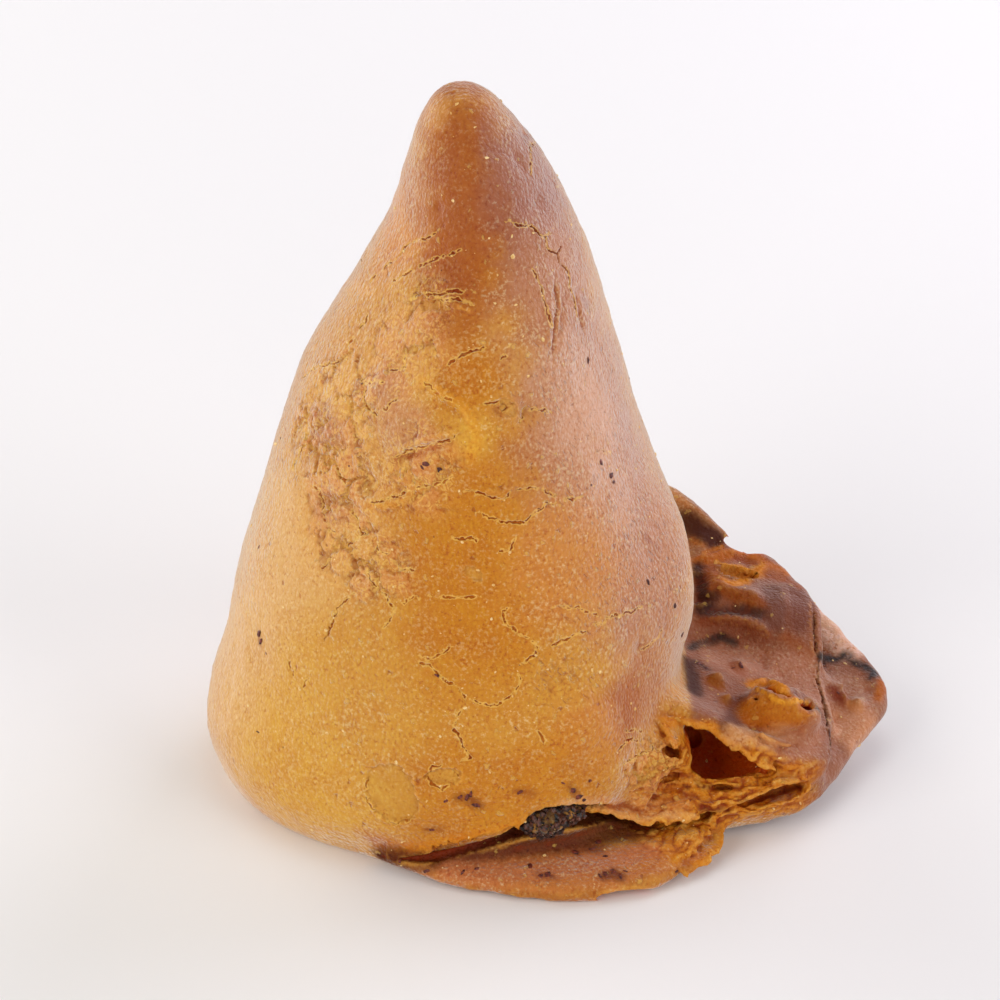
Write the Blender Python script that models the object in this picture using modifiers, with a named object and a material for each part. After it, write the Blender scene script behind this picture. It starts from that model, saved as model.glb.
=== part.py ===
"""Punjabi samosa: a plump fried pastry cone that stands on its pinched, torn and flaky base seam.

One piece of dough makes all of it, so it is one solid. The filled cone is a stack of rounded
three-cornered sections. The seam is a ruffle of dough layers round the front, right and back of
the base. The shapes are fused under one even skin, the open bubbles in the seam are cut out, and
the underside is trimmed flat where it stands.

Metres, +Z up. The origin is on the face it stands on, under the middle of the cone.
The tables below are in millimetres.
"""

import math

import bmesh
import bpy
from mathutils import Matrix, Vector, noise

MM = 0.001

# The cone of dough, from its hidden underside to its tip.
# Each row: height, centre x, centre y, half width, half depth, depth of the three corners
BODY_SECTIONS = (
    (-6.0, 0.0, 0.0, 0.0, 0.0, 0.00),
    (-5.4, 0.0, 0.0, 13.0, 12.0, 0.02),
    (-2.2, -0.8, -0.3, 23.4, 22.4, 0.04),
    (3.6, -0.8, -0.5, 27.7, 26.8, 0.05),
    (10.5, -0.2, -0.4, 28.7, 27.6, 0.05),
    (19.0, 1.5, 0.0, 27.7, 26.8, 0.05),
    (27.5, 2.1, 0.4, 26.5, 25.0, 0.05),
    (37.0, 2.2, 0.6, 23.6, 22.4, 0.06),
    (46.0, 1.7, 0.4, 20.6, 20.0, 0.07),
    (54.5, 1.9, 0.2, 17.7, 17.4, 0.08),
    (64.5, 3.2, 0.2, 13.6, 14.2, 0.08),
    (72.0, 3.7, 0.4, 10.3, 11.4, 0.07),
    (79.3, 2.9, 0.4, 7.5, 8.8, 0.06),
    (84.6, 1.8, 0.2, 4.8, 5.8, 0.04),
    (87.6, 1.4, 0.0, 2.6, 3.1, 0.02),
    (88.7, 1.3, 0.0, 0.0, 0.0, 0.00),
)
BODY_SEGMENTS = 72
BODY_RINGS = 60
CORNERS = 3
CORNER_AT_BASE = math.radians(-58)
CORNER_AT_TIP = math.radians(-92)
CORNER_TWIST_POWER = 0.7
BASE_YAW = math.radians(9)

# The cone leans up to the right, over the seam: rise per width, where it starts and where it fades out
LIFT_PER_WIDTH = 0.085
LIFT_STARTS_AT = -10.0
LIFT_FADES_AT = 30.0

# Broad dents and swellings of the dough: place on the skin, radius, height
SWELLINGS = (
    ((17.0, -23.0, 12.0), 7.5, 2.2),
    ((23.0, -19.0, 20.0), 8.0, -1.0),
    ((-7.0, -22.0, 42.0), 8.0, -0.9),
    ((-13.0, -14.0, 56.0), 7.0, 0.5),
    ((2.0, -17.0, 52.0), 5.0, 0.6),
    ((-20.0, -18.0, 30.0), 9.0, 0.7),
    ((-8.0, -27.0, 14.0), 10.0, 0.6),
    ((2.0, 27.0, 24.0), 12.0, -1.2),
    ((-18.0, 16.0, 40.0), 10.0, -0.8),
    ((16.0, 16.0, 52.0), 9.0, 0.8),
)
MIDDLE_OF_CONE = 1.0

# Seam layers: inner rail under the cone, outer torn rail, thickness, waves across the layer
# (share of the way out, rise), depth of the ragged edge, seed, and ripples along it
LOWER_LIP = dict(
    inner=(
        (-13, -11, 3), (-10, -13, 3), (-2, -17, 3), (8, -18, 3), (18, -16, 3), (24, -13, 3), (27, -11, 3),
    ),
    outer=(
        (-17.5, -17.0, 1.4), (-12.5, -21.4, 1.2), (-3.6, -27.8, 1.1), (4.5, -30.8, 1.1), (14.5, -32.2, 1.1),
        (24.4, -29.4, 1.3), (32.6, -21.0, 2.0),
    ),
    thick=2.2,
    waves=((0, 0), (0.45, 0.5), (0.8, 0.2), (1, -0.1)),
    ragged=0.9,
    seed=3,
)
UPPER_FLAP = dict(
    inner=(
        (18, -12, 16), (19, -9, 16), (20, -6, 16), (20, -3, 15.5), (20, 1, 15.5), (20, 5, 16), (20.5, 8, 17),
        (21, 11, 18.5), (21, 14, 19),
    ),
    outer=(
        (24.6, -14.2, 14.2), (29.8, -15.4, 14.0), (34.6, -16.8, 12.0), (38.8, -17.2, 9.6), (44.6, -14.6, 8.0),
        (46.3, -4.4, 9.6), (46.0, 5.0, 12.2), (44.6, 12.4, 14.4), (40.0, 18.4, 16.4),
    ),
    thick=1.5,
    waves=((0, 0), (0.5, 0.6), (1, 0)),
    ragged=0.7,
    seed=11,
    ripples=((0, 0), (0.45, 0), (0.55, -0.3), (0.64, -1.6), (0.78, 1.4), (0.9, 0.2), (1, 0.6)),
)
POCKET_FLOOR = dict(
    inner=((13, -14, 6), (18, -8, 7), (21, -3, 8), (25, 0, 9), (29, 2, 10), (33, 4, 11)),
    outer=(
        (21.6, -22.8, 5.8), (28.8, -22.2, 6.0), (34.0, -19.6, 6.4), (40.0, -17.8, 6.6), (45.0, -14.8, 7.2),
        (46.0, -8, 8.8),
    ),
    thick=1.6,
    waves=((0, 0), (1, 0)),
    ragged=0.8,
    seed=17,
)
RIGHT_WING = dict(
    inner=((20, -14, 3.0), (24, -8, 3.6), (28, 0, 5.0), (30, 6, 7.5), (30, 11, 10)),
    outer=((32.8, -19.4, 2.0), (42.6, -16.4, 3.4), (49.2, -7.4, 5.2), (53.6, 2.4, 7.4), (45.0, 15.0, 12.4)),
    thick=2.6,
    waves=((0, 0), (0.6, 0.4), (1, -0.2)),
    ragged=0.5,
    seed=23,
)
BACK_CURL = dict(
    inner=((33, 15.5, 13), (28, 15, 13), (22, 17, 13), (16, 19, 12)),
    outer=((35.6, 18.4, 18.6), (31.8, 20.2, 22.2), (25.8, 24.8, 24.0), (18.0, 27.5, 19.0)),
    thick=2.4,
    waves=((0, 0), (0.5, 0.9), (1, 0)),
    ragged=0.5,
    seed=31,
)
BACK_LIP = dict(
    inner=((28, 8, 9), (22, 14, 8), (12, 18, 6), (2, 20, 5), (-8, 17, 4), (-13, 12, 3)),
    outer=((40, 16.5, 12), (31, 25.5, 9), (19, 31.4, 6), (6, 32.6, 3.6), (-8, 28.6, 2.2), (-19, 18.5, 1.6)),
    thick=2.4,
    waves=((0, 0), (0.4, 0.7), (1, -0.2)),
    ragged=0.8,
    seed=43,
    ripples=((0, 0), (0.2, 0.9), (0.4, -0.5), (0.6, 0.8), (0.8, -0.2), (1, 0)),
)
SEAM_LAYERS = (LOWER_LIP, UPPER_FLAP, POCKET_FLOOR, RIGHT_WING, BACK_CURL, BACK_LIP)
STEPS_ALONG_LAYER = 48
STEPS_ACROSS_LAYER = 22
RAGGED_PITCH = 0.55
RIPPLE_SPAN = 0.9
RIPPLE_ARC = 0.6 * math.pi
HAND_UNEVENNESS = 0.35

# Lumps fused to the dough: centre, radii, turn about z in degrees
LUMPS = (
    ((12.0, 4.0, 3.0), (18.0, 20.0, 6.0), 0),
    ((20.5, -14.6, 8.6), (8.5, 8.0, 6.2), 0),
    ((33.0, -17.4, 4.6), (9.0, 3.4, 2.2), 12),
    ((39.4, -9.6, 11.6), (5.2, 3.2, 3.2), -14),
    ((9.6, -23.8, 4.0), (2.4, 2.2, 2.0), 10),
    ((13.4, -23.2, 3.8), (2.6, 1.8, 1.6), -8),
)

# Open bubbles and slits of the seam: centre, radii, turn about z and tilt about x in degrees
HOLLOWS = (
    ((31.4, -11.6, 8.0), (6.3, 5.6, 3.3), -8, 0),
    ((26.4, -20.4, 8.4), (2.4, 2.2, 1.9), 10, 0),
    ((38.2, -18.0, 5.6), (3.4, 3.6, 1.0), 6, 6),
    ((31.8, -20.4, 4.6), (2.5, 3.0, 0.9), -6, 4),
    ((42.2, -10.2, 13.4), (1.2, 1.2, 2.4), -14, 30),
    ((36.9, -8.6, 13.4), (0.9, 1.0, 2.0), -14, 30),
    ((26.6, -20.6, 5.2), (2.0, 2.6, 0.9), 0, 6),
    ((24.0, -21.4, 6.8), (1.2, 2.0, 0.9), 0, 6),
)
BALL_SUBDIVISIONS = 4

SKIN_VOXEL = 0.75
CUT_SKIN_VOXEL = 0.7
SKIN_SMOOTHING = 4
DOUGH_FACES = 11600

FLOOR_WIDTH = 200.0
FLOOR_DEPTH = 12.0

CRUST_COLOUR = (0.62, 0.33, 0.075, 1.0)
CRUST_ROUGHNESS = 0.46


def clear_scene():
    for old in list(bpy.data.objects):
        bpy.data.objects.remove(old)


def between(rows, t):
    """A smooth curve through rows of numbers at t from 0 to 1 (Catmull-Rom)."""
    spans = len(rows) - 1
    place = min(max(t, 0.0), 1.0) * spans
    k = min(int(place), spans - 1)
    f = place - k
    p0, p1, p2, p3 = (rows[min(max(k + i, 0), spans)] for i in (-1, 0, 1, 2))
    return tuple(
        0.5 * (2 * b + (c - a) * f + (2 * a - 5 * b + 4 * c - d) * f**2 + (3 * b - a - 3 * c + d) * f**3)
        for a, b, c, d in zip(p0, p1, p2, p3)
    )


def height_along(stops, t):
    """The value at t through (place, value) stops, eased at each stop."""
    for (t0, v0), (t1, v1) in zip(stops, stops[1:]):
        if t <= t1:
            s = (t - t0) / (t1 - t0)
            s = s * s * (3 - 2 * s)
            return v0 + (v1 - v0) * s
    return stops[-1][1]


def object_from(bm, name, collection):
    mesh = bpy.data.meshes.new(name)
    bm.to_mesh(mesh)
    bm.free()
    obj = bpy.data.objects.new(name, mesh)
    collection.objects.link(obj)
    return obj


def body_point(angle, t):
    """A point of the cone: angle round it, and t from the underside (0) to the tip (1)."""
    z, x, y, wide, deep, corner = between(BODY_SECTIONS, t)
    up = min(max(z / BODY_SECTIONS[-1][0], 0.0), 1.0)
    ridge = CORNER_AT_BASE + (CORNER_AT_TIP - CORNER_AT_BASE) * up**CORNER_TWIST_POWER
    swell = 1 + corner * math.cos(CORNERS * (angle - ridge))
    px = wide * swell * math.cos(angle)
    py = deep * swell * math.sin(angle)
    yaw = BASE_YAW * (1 - up)
    px, py = px * math.cos(yaw) - py * math.sin(yaw), px * math.sin(yaw) + py * math.cos(yaw)
    fade = max(1 - max(z, 0.0) / LIFT_FADES_AT, 0.0)
    lift = LIFT_PER_WIDTH * max(px - LIFT_STARTS_AT, 0.0) * fade
    return Vector((x + px, y + py, z + lift))


def swollen(point):
    """The point moved out or in by the broad swellings and dents near it."""
    outward = (point - Vector((MIDDLE_OF_CONE, 0.0, point.z))).normalized()
    for centre, radius, height in SWELLINGS:
        near = (point - Vector(centre)).length / radius
        point = point + outward * height * math.exp(-near * near)
    return point


def make_cone(collection):
    bm = bmesh.new()
    bmesh.ops.create_uvsphere(bm, u_segments=BODY_SEGMENTS, v_segments=BODY_RINGS, radius=1)
    for vert in bm.verts:
        angle = math.atan2(vert.co.y, vert.co.x)
        t = 0.5 + math.asin(min(max(vert.co.z, -1.0), 1.0)) / math.pi
        vert.co = swollen(body_point(angle, t)) * MM
    return object_from(bm, "cone", collection)


def layer_point(layer, u, v):
    """A point of a seam layer: u along the seam, v from its root (0) to its torn edge (1)."""
    root = Vector(between(layer["inner"], u))
    out = Vector(between(layer["outer"], u)) - root
    seed = layer["seed"]
    torn = noise.noise(Vector((3 * u * out.length * RAGGED_PITCH, seed, 0)))
    torn += 0.5 * noise.noise(Vector((90 * u * RAGGED_PITCH, seed + 5, 0)))
    point = root + out * v + out.normalized() * layer["ragged"] * torn * v**4
    point.z += height_along(layer["waves"], v)
    if "ripples" in layer:
        point.z += height_along(layer["ripples"], u) * math.sin(RIPPLE_ARC * min(v, RIPPLE_SPAN))
    point.z += HAND_UNEVENNESS * noise.noise(Vector((5 * u, 3 * v, seed)))
    return point


def make_layer(name, layer, collection):
    bm = bmesh.new()
    bmesh.ops.create_grid(bm, x_segments=STEPS_ALONG_LAYER, y_segments=STEPS_ACROSS_LAYER, size=0.5)
    for vert in bm.verts:
        vert.co = layer_point(layer, vert.co.x + 0.5, vert.co.y + 0.5) * MM
    obj = object_from(bm, name, collection)
    wall = obj.modifiers.new("wall", "SOLIDIFY")
    wall.thickness = layer["thick"] * MM
    wall.offset = 0.0
    return obj


def make_ellipsoid(name, centre, radii, turn, tilt, collection):
    bm = bmesh.new()
    bmesh.ops.create_icosphere(bm, subdivisions=BALL_SUBDIVISIONS, radius=1)
    bmesh.ops.scale(bm, vec=Vector(radii) * MM, verts=bm.verts)
    bmesh.ops.transform(
        bm,
        matrix=Matrix.Translation(Vector(centre) * MM)
        @ Matrix.Rotation(math.radians(turn), 4, "Z")
        @ Matrix.Rotation(math.radians(tilt), 4, "X"),
        verts=bm.verts,
    )
    return object_from(bm, name, collection)


def make_floor(collection):
    bm = bmesh.new()
    bmesh.ops.create_cube(bm, size=1)
    bmesh.ops.scale(bm, vec=Vector((FLOOR_WIDTH, FLOOR_WIDTH, FLOOR_DEPTH)) * MM, verts=bm.verts)
    bmesh.ops.translate(bm, vec=Vector((0, 0, -0.5 * FLOOR_DEPTH * MM)), verts=bm.verts)
    return object_from(bm, "floor", collection)


def joined(name, objects, collection):
    """One mesh that holds the evaluated shapes of these objects, which are then removed."""
    bpy.context.view_layer.update()
    graph = bpy.context.evaluated_depsgraph_get()
    bm = bmesh.new()
    for obj in objects:
        mesh = bpy.data.meshes.new_from_object(obj.evaluated_get(graph))
        bm.from_mesh(mesh)
        bpy.data.meshes.remove(mesh)
    for obj in objects:
        bpy.data.objects.remove(obj)
    return object_from(bm, name, collection)


def fuse(obj, name, voxel):
    """Gives the object one closed skin of even quads."""
    skin = obj.modifiers.new(name, "REMESH")
    skin.mode = "VOXEL"
    skin.voxel_size = voxel * MM


def cut_away(obj, cutter):
    cut = obj.modifiers.new(cutter.name, "BOOLEAN")
    cut.operation = "DIFFERENCE"
    cut.solver = "MANIFOLD"
    cut.object = cutter
    cutter.hide_render = True
    cutter.display_type = "WIRE"


def thin_out(obj, faces):
    """Lowers the object's triangle count to about this many."""
    bpy.context.view_layer.update()
    fine = obj.evaluated_get(bpy.context.evaluated_depsgraph_get()).to_mesh()
    fine.calc_loop_triangles()
    facets = obj.modifiers.new("facets", "DECIMATE")
    facets.ratio = faces / len(fine.loop_triangles)


def make_crust_material():
    crust = bpy.data.materials.new("crust")
    crust.use_nodes = True
    shader = crust.node_tree.nodes["Principled BSDF"]
    shader.inputs["Base Color"].default_value = CRUST_COLOUR
    shader.inputs["Roughness"].default_value = CRUST_ROUGHNESS
    shader.inputs["Metallic"].default_value = 0.0
    return crust


def make_samosa():
    parts = bpy.data.collections.new("samosa")
    cutters = bpy.data.collections.new("cutters")
    for collection in (parts, cutters):
        bpy.context.scene.collection.children.link(collection)

    shapes = [make_cone(parts)]
    for number, layer in enumerate(SEAM_LAYERS):
        shapes.append(make_layer(f"layer_{number}", layer, parts))
    for number, (centre, radii, turn) in enumerate(LUMPS):
        shapes.append(make_ellipsoid(f"lump_{number}", centre, radii, turn, 0, parts))
    samosa = joined("samosa", shapes, parts)

    fuse(samosa, "skin", SKIN_VOXEL)
    for number, (centre, radii, turn, tilt) in enumerate(HOLLOWS):
        cut_away(samosa, make_ellipsoid(f"hollow_{number}", centre, radii, turn, tilt, cutters))
    fuse(samosa, "cut_skin", CUT_SKIN_VOXEL)

    settle = samosa.modifiers.new("settle", "SMOOTH")
    settle.factor = 0.5
    settle.iterations = SKIN_SMOOTHING

    thin_out(samosa, DOUGH_FACES)
    cut_away(samosa, make_floor(cutters))
    samosa.data.materials.append(make_crust_material())


clear_scene()
make_samosa()
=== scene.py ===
import math
import random

import bmesh
import bpy
import numpy as np
from mathutils import Euler, Matrix, Vector, noise


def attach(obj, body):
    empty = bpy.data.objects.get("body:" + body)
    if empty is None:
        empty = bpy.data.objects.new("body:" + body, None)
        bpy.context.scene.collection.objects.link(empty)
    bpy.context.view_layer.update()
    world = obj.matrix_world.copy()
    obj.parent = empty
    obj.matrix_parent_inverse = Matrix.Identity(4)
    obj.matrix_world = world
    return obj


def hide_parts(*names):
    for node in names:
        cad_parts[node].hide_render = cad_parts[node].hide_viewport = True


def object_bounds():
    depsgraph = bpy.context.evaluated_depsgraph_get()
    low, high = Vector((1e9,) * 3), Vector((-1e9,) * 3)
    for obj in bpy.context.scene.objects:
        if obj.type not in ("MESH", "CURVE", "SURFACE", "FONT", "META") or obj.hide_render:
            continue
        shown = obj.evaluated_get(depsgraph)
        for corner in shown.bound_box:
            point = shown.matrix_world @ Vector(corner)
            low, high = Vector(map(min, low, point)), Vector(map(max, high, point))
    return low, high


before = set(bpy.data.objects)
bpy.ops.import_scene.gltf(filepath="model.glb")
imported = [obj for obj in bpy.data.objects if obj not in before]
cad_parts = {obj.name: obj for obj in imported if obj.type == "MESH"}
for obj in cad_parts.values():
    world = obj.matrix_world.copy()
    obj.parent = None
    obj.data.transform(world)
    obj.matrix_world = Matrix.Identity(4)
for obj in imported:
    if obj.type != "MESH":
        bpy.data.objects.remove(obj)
cad_low, cad_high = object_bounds()


# The samosa stands on a plain pale table top and is seen from a little above, through a long
# lens, with a wide soft light on each side and weaker ones in front and above.
MM = 0.001
PICTURE_SIDE = 1000
LENS = 110.0
SENSOR = 36.0
LOOKING_DOWN = math.radians(30)
AIM = Vector((5.7, 0.0, 35.5))
DISTANCE = 363.0
TABLE_SIZE = 4.0
TABLE_COLOUR = (0.88, 0.88, 0.88, 1)
TABLE_ROUGHNESS = 0.8
AIR_COLOUR = (1.0, 0.99, 0.98, 1)
AIR_STRENGTH = 0.20
# What each light is: name, place (m), size across (m), power (W), colour
LIGHTS = (
    ("left_light", (-0.52, -0.46, 0.40), 0.60, 3.0, (1.0, 0.96, 0.92)),
    ("left_rim_light", (-0.55, 0.42, 0.16), 0.80, 4.2, (1.0, 0.97, 0.95)),
    ("right_light", (0.60, -0.36, 0.36), 0.55, 2.2, (1.0, 0.96, 0.95)),
    ("right_rim_light", (0.50, 0.45, 0.26), 0.80, 4.4, (0.92, 0.88, 1.0)),
    ("front_light", (0.05, -0.70, 0.10), 0.45, 0.7, (1.0, 0.97, 0.93)),
    ("top_light", (0.05, 0.15, 0.80), 0.50, 0.9, (1.0, 0.98, 0.97)),
)

camera_turn = Matrix.Rotation(math.pi / 2 - LOOKING_DOWN, 3, "X")
eye = AIM + camera_turn @ Vector((0, 0, DISTANCE))
camera = bpy.data.objects.new("camera", bpy.data.cameras.new("camera"))
bpy.context.scene.collection.objects.link(camera)
camera.data.lens = LENS
camera.data.sensor_width = SENSOR
camera.data.clip_start = 0.01
camera.location = eye * MM
camera.rotation_euler = camera_turn.to_euler()
bpy.context.scene.camera = camera

for name, place, size, power, colour in LIGHTS:
    light = bpy.data.lights.new(name, "AREA")
    light.shape = "DISK"
    light.size = size
    light.energy = power
    light.color = colour
    lamp = bpy.data.objects.new(name, light)
    lamp.location = place
    lamp.rotation_euler = (AIM * MM - Vector(place)).to_track_quat("-Z", "Y").to_euler()
    bpy.context.scene.collection.objects.link(lamp)

air = bpy.data.worlds.new("air")
air.use_nodes = True
air.node_tree.nodes["Background"].inputs["Color"].default_value = AIR_COLOUR
air.node_tree.nodes["Background"].inputs["Strength"].default_value = AIR_STRENGTH
bpy.context.scene.world = air
bpy.context.scene.view_settings.view_transform = "Standard"


def piece_from(bm, name):
    """The bmesh as an object of the scene."""
    mesh = bpy.data.meshes.new(name)
    bm.to_mesh(mesh)
    bm.free()
    piece = bpy.data.objects.new(name, mesh)
    bpy.context.scene.collection.objects.link(piece)
    return piece


table_top = bmesh.new()
bmesh.ops.create_grid(table_top, x_segments=1, y_segments=1, size=TABLE_SIZE / 2)
table = piece_from(table_top, "table")
plain = bpy.data.materials.new("table")
plain.use_nodes = True
plain.node_tree.nodes["Principled BSDF"].inputs["Base Color"].default_value = TABLE_COLOUR
plain.node_tree.nodes["Principled BSDF"].inputs["Roughness"].default_value = TABLE_ROUGHNESS
table.data.materials.append(plain)


# The dough is one piece: a filled cone with its seam pinched and ruffled round the foot.
# Where the seam tore as it fried, thin layers stand apart with ragged edges, and bubbles burst
# open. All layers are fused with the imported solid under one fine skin, in millimetres.
WELD = 0.00001
TO_MM = 1000
PIXELS_PER_MM = 8.4
SKIN_VOXEL = 0.22
SKIN_SMOOTHING = 1

# Torn layers: thickness, depth of the tear, seed, rail at the root, rail at the torn edge
TORN_LAYERS = [
    # rim of the big bubble
    (0.6, 0.7, 1,
     ((24.5, -12, 15), (28, -12, 14.4), (31, -12.4, 13.4), (34, -13.4, 12.3), (37, -14.4, 10.8)),
     ((24.6, -15.4, 14.4), (28, -15.9, 14.5), (30.2, -15.9, 13.6), (32.8, -16.8, 12.2),
      (35.6, -17.6, 10.6), (38.4, -18, 9.1))),
    # hanging end of the rim
    (0.55, 0.5, 2,
     ((24.8, -14.6, 14.6), (26.2, -14.8, 14.4), (27.6, -14.8, 14.2)),
     ((25, -16.4, 12.9), (26, -16.9, 11.9), (27.2, -16.8, 12))),
    # floor rim of the big bubble
    (0.6, 0.5, 3,
     ((25.4, -15.6, 9.2), (27.4, -16.2, 8), (29.4, -16.6, 6.2), (31.8, -16.8, 6), (34.2, -16.6, 6.2),
      (36.6, -16.4, 6), (39, -15.8, 6.6), (41.4, -15.2, 7)),
     ((25.4, -16.4, 11.8), (26.8, -17, 10.6), (28, -17.5, 9.2), (29.4, -17.8, 8.1), (31.8, -18, 8.1),
      (34.2, -17.8, 8.2), (36.6, -17.5, 7.7), (38.8, -17.3, 8.4), (41.2, -16.8, 8.6))),
    # layer under the rim
    (0.6, 0.5, 4,
     ((28, -16.4, 6.4), (31.4, -16.8, 5.6), (35, -16.4, 6), (38.4, -15.8, 6.8)),
     ((28.2, -19.4, 8), (29.4, -19.9, 7.5), (31.7, -20.2, 6.8), (33.5, -20, 7.2), (34.8, -19.6, 7.6),
      (36.6, -19.1, 7.6), (38.8, -18.5, 8.2))),
    # upper lip of the long slit
    (0.6, 0.4, 5,
     ((27.6, -17.4, 5.6), (31, -17.6, 5), (34.6, -16.8, 6), (38, -15.6, 7.2), (42, -14, 7.6)),
     ((27.6, -21.4, 7.4), (29.4, -21.6, 6.6), (31.4, -21.4, 6.2), (33.4, -20.9, 6.5), (35, -20.5, 7),
      (37.2, -19.8, 7.6), (39.4, -19, 7.9), (42.2, -17.6, 7.6))),
    # lower lip of the long slit
    (0.6, 0.4, 6,
     ((31.4, -17, 4), (35, -16.2, 4.4), (39, -14.8, 4.8), (42.6, -13, 5.4)),
     ((30.6, -21.2, 4.9), (33, -21, 5), (35.4, -20.4, 5), (38, -19.8, 5.2), (40.4, -19, 5.7),
      (42.6, -17.4, 6.3))),
    # hem over the lip
    (0.8, 0.6, 7,
     ((16.5, -20, 9.6), (20, -19.4, 8), (24, -18.6, 7.2), (28, -18, 6.8)),
     ((15.4, -25.2, 9), (17.6, -25, 8.5), (19.9, -24.6, 7.1), (22.2, -24.1, 6.2), (25.2, -23.6, 6),
      (27.8, -23, 5.9), (29.2, -22.2, 5.9))),
    # outer layer at the lip's end
    (0.6, 0.8, 8,
     ((27, -17.5, 3.2), (26.5, -20, 3.2), (25.5, -22.5, 3), (24, -25, 2.6)),
     ((32.2, -20, 3), (32.2, -22.2, 2.7), (31.3, -24.6, 2.3), (29.6, -26.8, 2), (27.4, -28.6, 1.8))),
    # inner layer at the lip's end
    (0.6, 0.8, 9,
     ((26, -17.5, 4), (25.5, -20, 4), (24.5, -22.5, 3.8), (23, -24.5, 3.4)),
     ((31, -19.6, 4.2), (30.8, -21.6, 4), (30, -23.6, 3.7), (28.4, -25.4, 3.4), (26.4, -27, 3))),
    # flake on the flap
    (0.5, 0.5, 10,
     ((36, -13.8, 11.4), (37.6, -13.8, 11), (39.4, -13.8, 10.6)),
     ((36.6, -15.4, 12.6), (38.2, -15.8, 11.8), (40.4, -15.6, 11))),
]
LAYER_STEPS_ALONG = 120
LAYER_STEPS_OUT = 16
TEAR_PITCH = 0.85
FRAY_PITCH = 2.1
FRAY = 0.35
FLUTTER_PITCH = 0.45
FLUTTER = 0.35

# Rims of burst bubbles: where in the photo (column, row), half width and height (mm), wall
BUBBLE_RIMS = (
    ((669, 777), 2.5, 2.1, 0.32), ((668, 775), 1.35, 1, 0.24), ((686, 786), 0.8, 0.6, 0.24),
    ((651, 786), 0.75, 0.85, 0.22), ((757, 700), 0.75, 0.62, 0.24), ((806, 708), 1.25, 0.85, 0.28),
    ((723, 787), 1.75, 0.75, 0.24), ((702, 787), 0.9, 0.6, 0.22),
)
NEARING = 4
RIM_SEGMENTS = 48
RIM_SIDES = 10
RIM_WOBBLE = 0.3
RIM_PITCH = 0.9

# Bubbles cut out: centre, radii, turns about x, y and z in degrees
BURST = (
    ((31.8, -15.0, 11.2), (5.6, 3.6, 1.5), (0, 24, -8)),
    ((31.4, -12.6, 8.6), (6.0, 5.6, 3.0), (0, 0, -8)),
    ((32.4, -21.0, 5.6), (2.4, 2.6, 0.35), (0, 0, 10)),
)
# Small holes and slits: where in the photo, how far in their middle is (mm), half width, height
# and depth (mm), and turn in the picture (degrees)
POCKETS = (
    ((672, 752), 0.6, (1.3, 0.9, 2.2), -20), ((690, 738), 0.8, (1.4, 1.6, 2), 30),
    ((668, 777), 0.1, (2, 1.5, 0.55), 0), ((686, 787), 0.4, (0.62, 0.5, 1.2), -10),
    ((651, 786), 0.2, (0.55, 0.7, 0.7), 0), ((723, 787), 0.2, (1.45, 0.55, 1.3), -6),
    ((702, 787), 0.2, (0.65, 0.42, 0.9), -6), ((775, 791), 0.2, (3.3, 0.62, 2.4), 15),
    ((752, 801), 0, (2, 0.42, 1.6), 12), ((764, 771), 0.1, (0.5, 0.45, 1), 0),
    ((757, 699), 0.5, (0.6, 0.55, 1.7), 0), ((804, 707), 0.4, (1.15, 0.72, 1.9), -35),
    ((770, 690), 0.3, (1.5, 0.3, 1.5), -24), ((788, 699), 0.3, (1.3, 0.34, 1.5), -32),
    ((715, 808), 0, (1.6, 0.45, 1.5), 0), ((734, 544), 0, (1.5, 0.5, 5), -30),
    ((695, 855), 0, (0.8, 0.4, 0.6), 30), ((628, 899), 0, (3.9, 0.75, 4), 4),
     ((629, 742), 0, (0.7, 0.14, 0.7), 35),
    ((640, 758), 0, (2, 0.17, 0.8), 30),
)
# The gap where the cone overhangs the lip: centre and radii along it, from left to right
GAP = (
    (-9, -25, 1.6, 0.9, 0.5, 0.2),
    (-5.4, -26.6, 2.3, 1.2, 0.8, 0.26),
    (-1.2, -27.4, 3.4, 1.6, 1.1, 0.34),
    (3.6, -27.5, 4.8, 2, 1.6, 0.5),
    (8, -27.2, 6.6, 2.2, 2.4, 1),
    (11.4, -27.2, 8.4, 2.4, 2.8, 2.2),
    (15.2, -26, 8.1, 2.8, 3.4, 2.2),
    (18.8, -24.2, 6.1, 2.8, 3.8, 1.3),
    (22.8, -22.8, 4.9, 2.6, 3.4, 1.1),
    (26.8, -22, 4.8, 2.2, 2.6, 0.8),
    (29.8, -21.2, 4.6, 1.6, 2.2, 0.6),
)
GAP_STEPS = 44
BALL_SUBDIVISIONS = 4
BALL_UNEVENNESS = 0.14
BALL_PITCH = 0.55
# The lump of burnt crumbs that sits in the gap: centre and radii
CLUMP = (((10.9, -26.3, 8.0), (2.5, 1.9, 1.9)), ((13.7, -25.7, 8.9), (1.7, 1.6, 1.3)))


def between(rows, t):
    """A smooth curve through rows of numbers at t from 0 to 1 (Catmull-Rom)."""
    spans = len(rows) - 1
    place = min(max(t, 0.0), 1.0) * spans
    k = min(int(place), spans - 1)
    f = place - k
    p0, p1, p2, p3 = (rows[min(max(k + i, 0), spans)] for i in (-1, 0, 1, 2))
    return Vector(
        0.5 * (2 * b + (c - a) * f + (2 * a - 5 * b + 4 * c - d) * f**2 + (3 * b - a - 3 * c + d) * f**3)
        for a, b, c, d in zip(p0, p1, p2, p3)
    )


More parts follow.
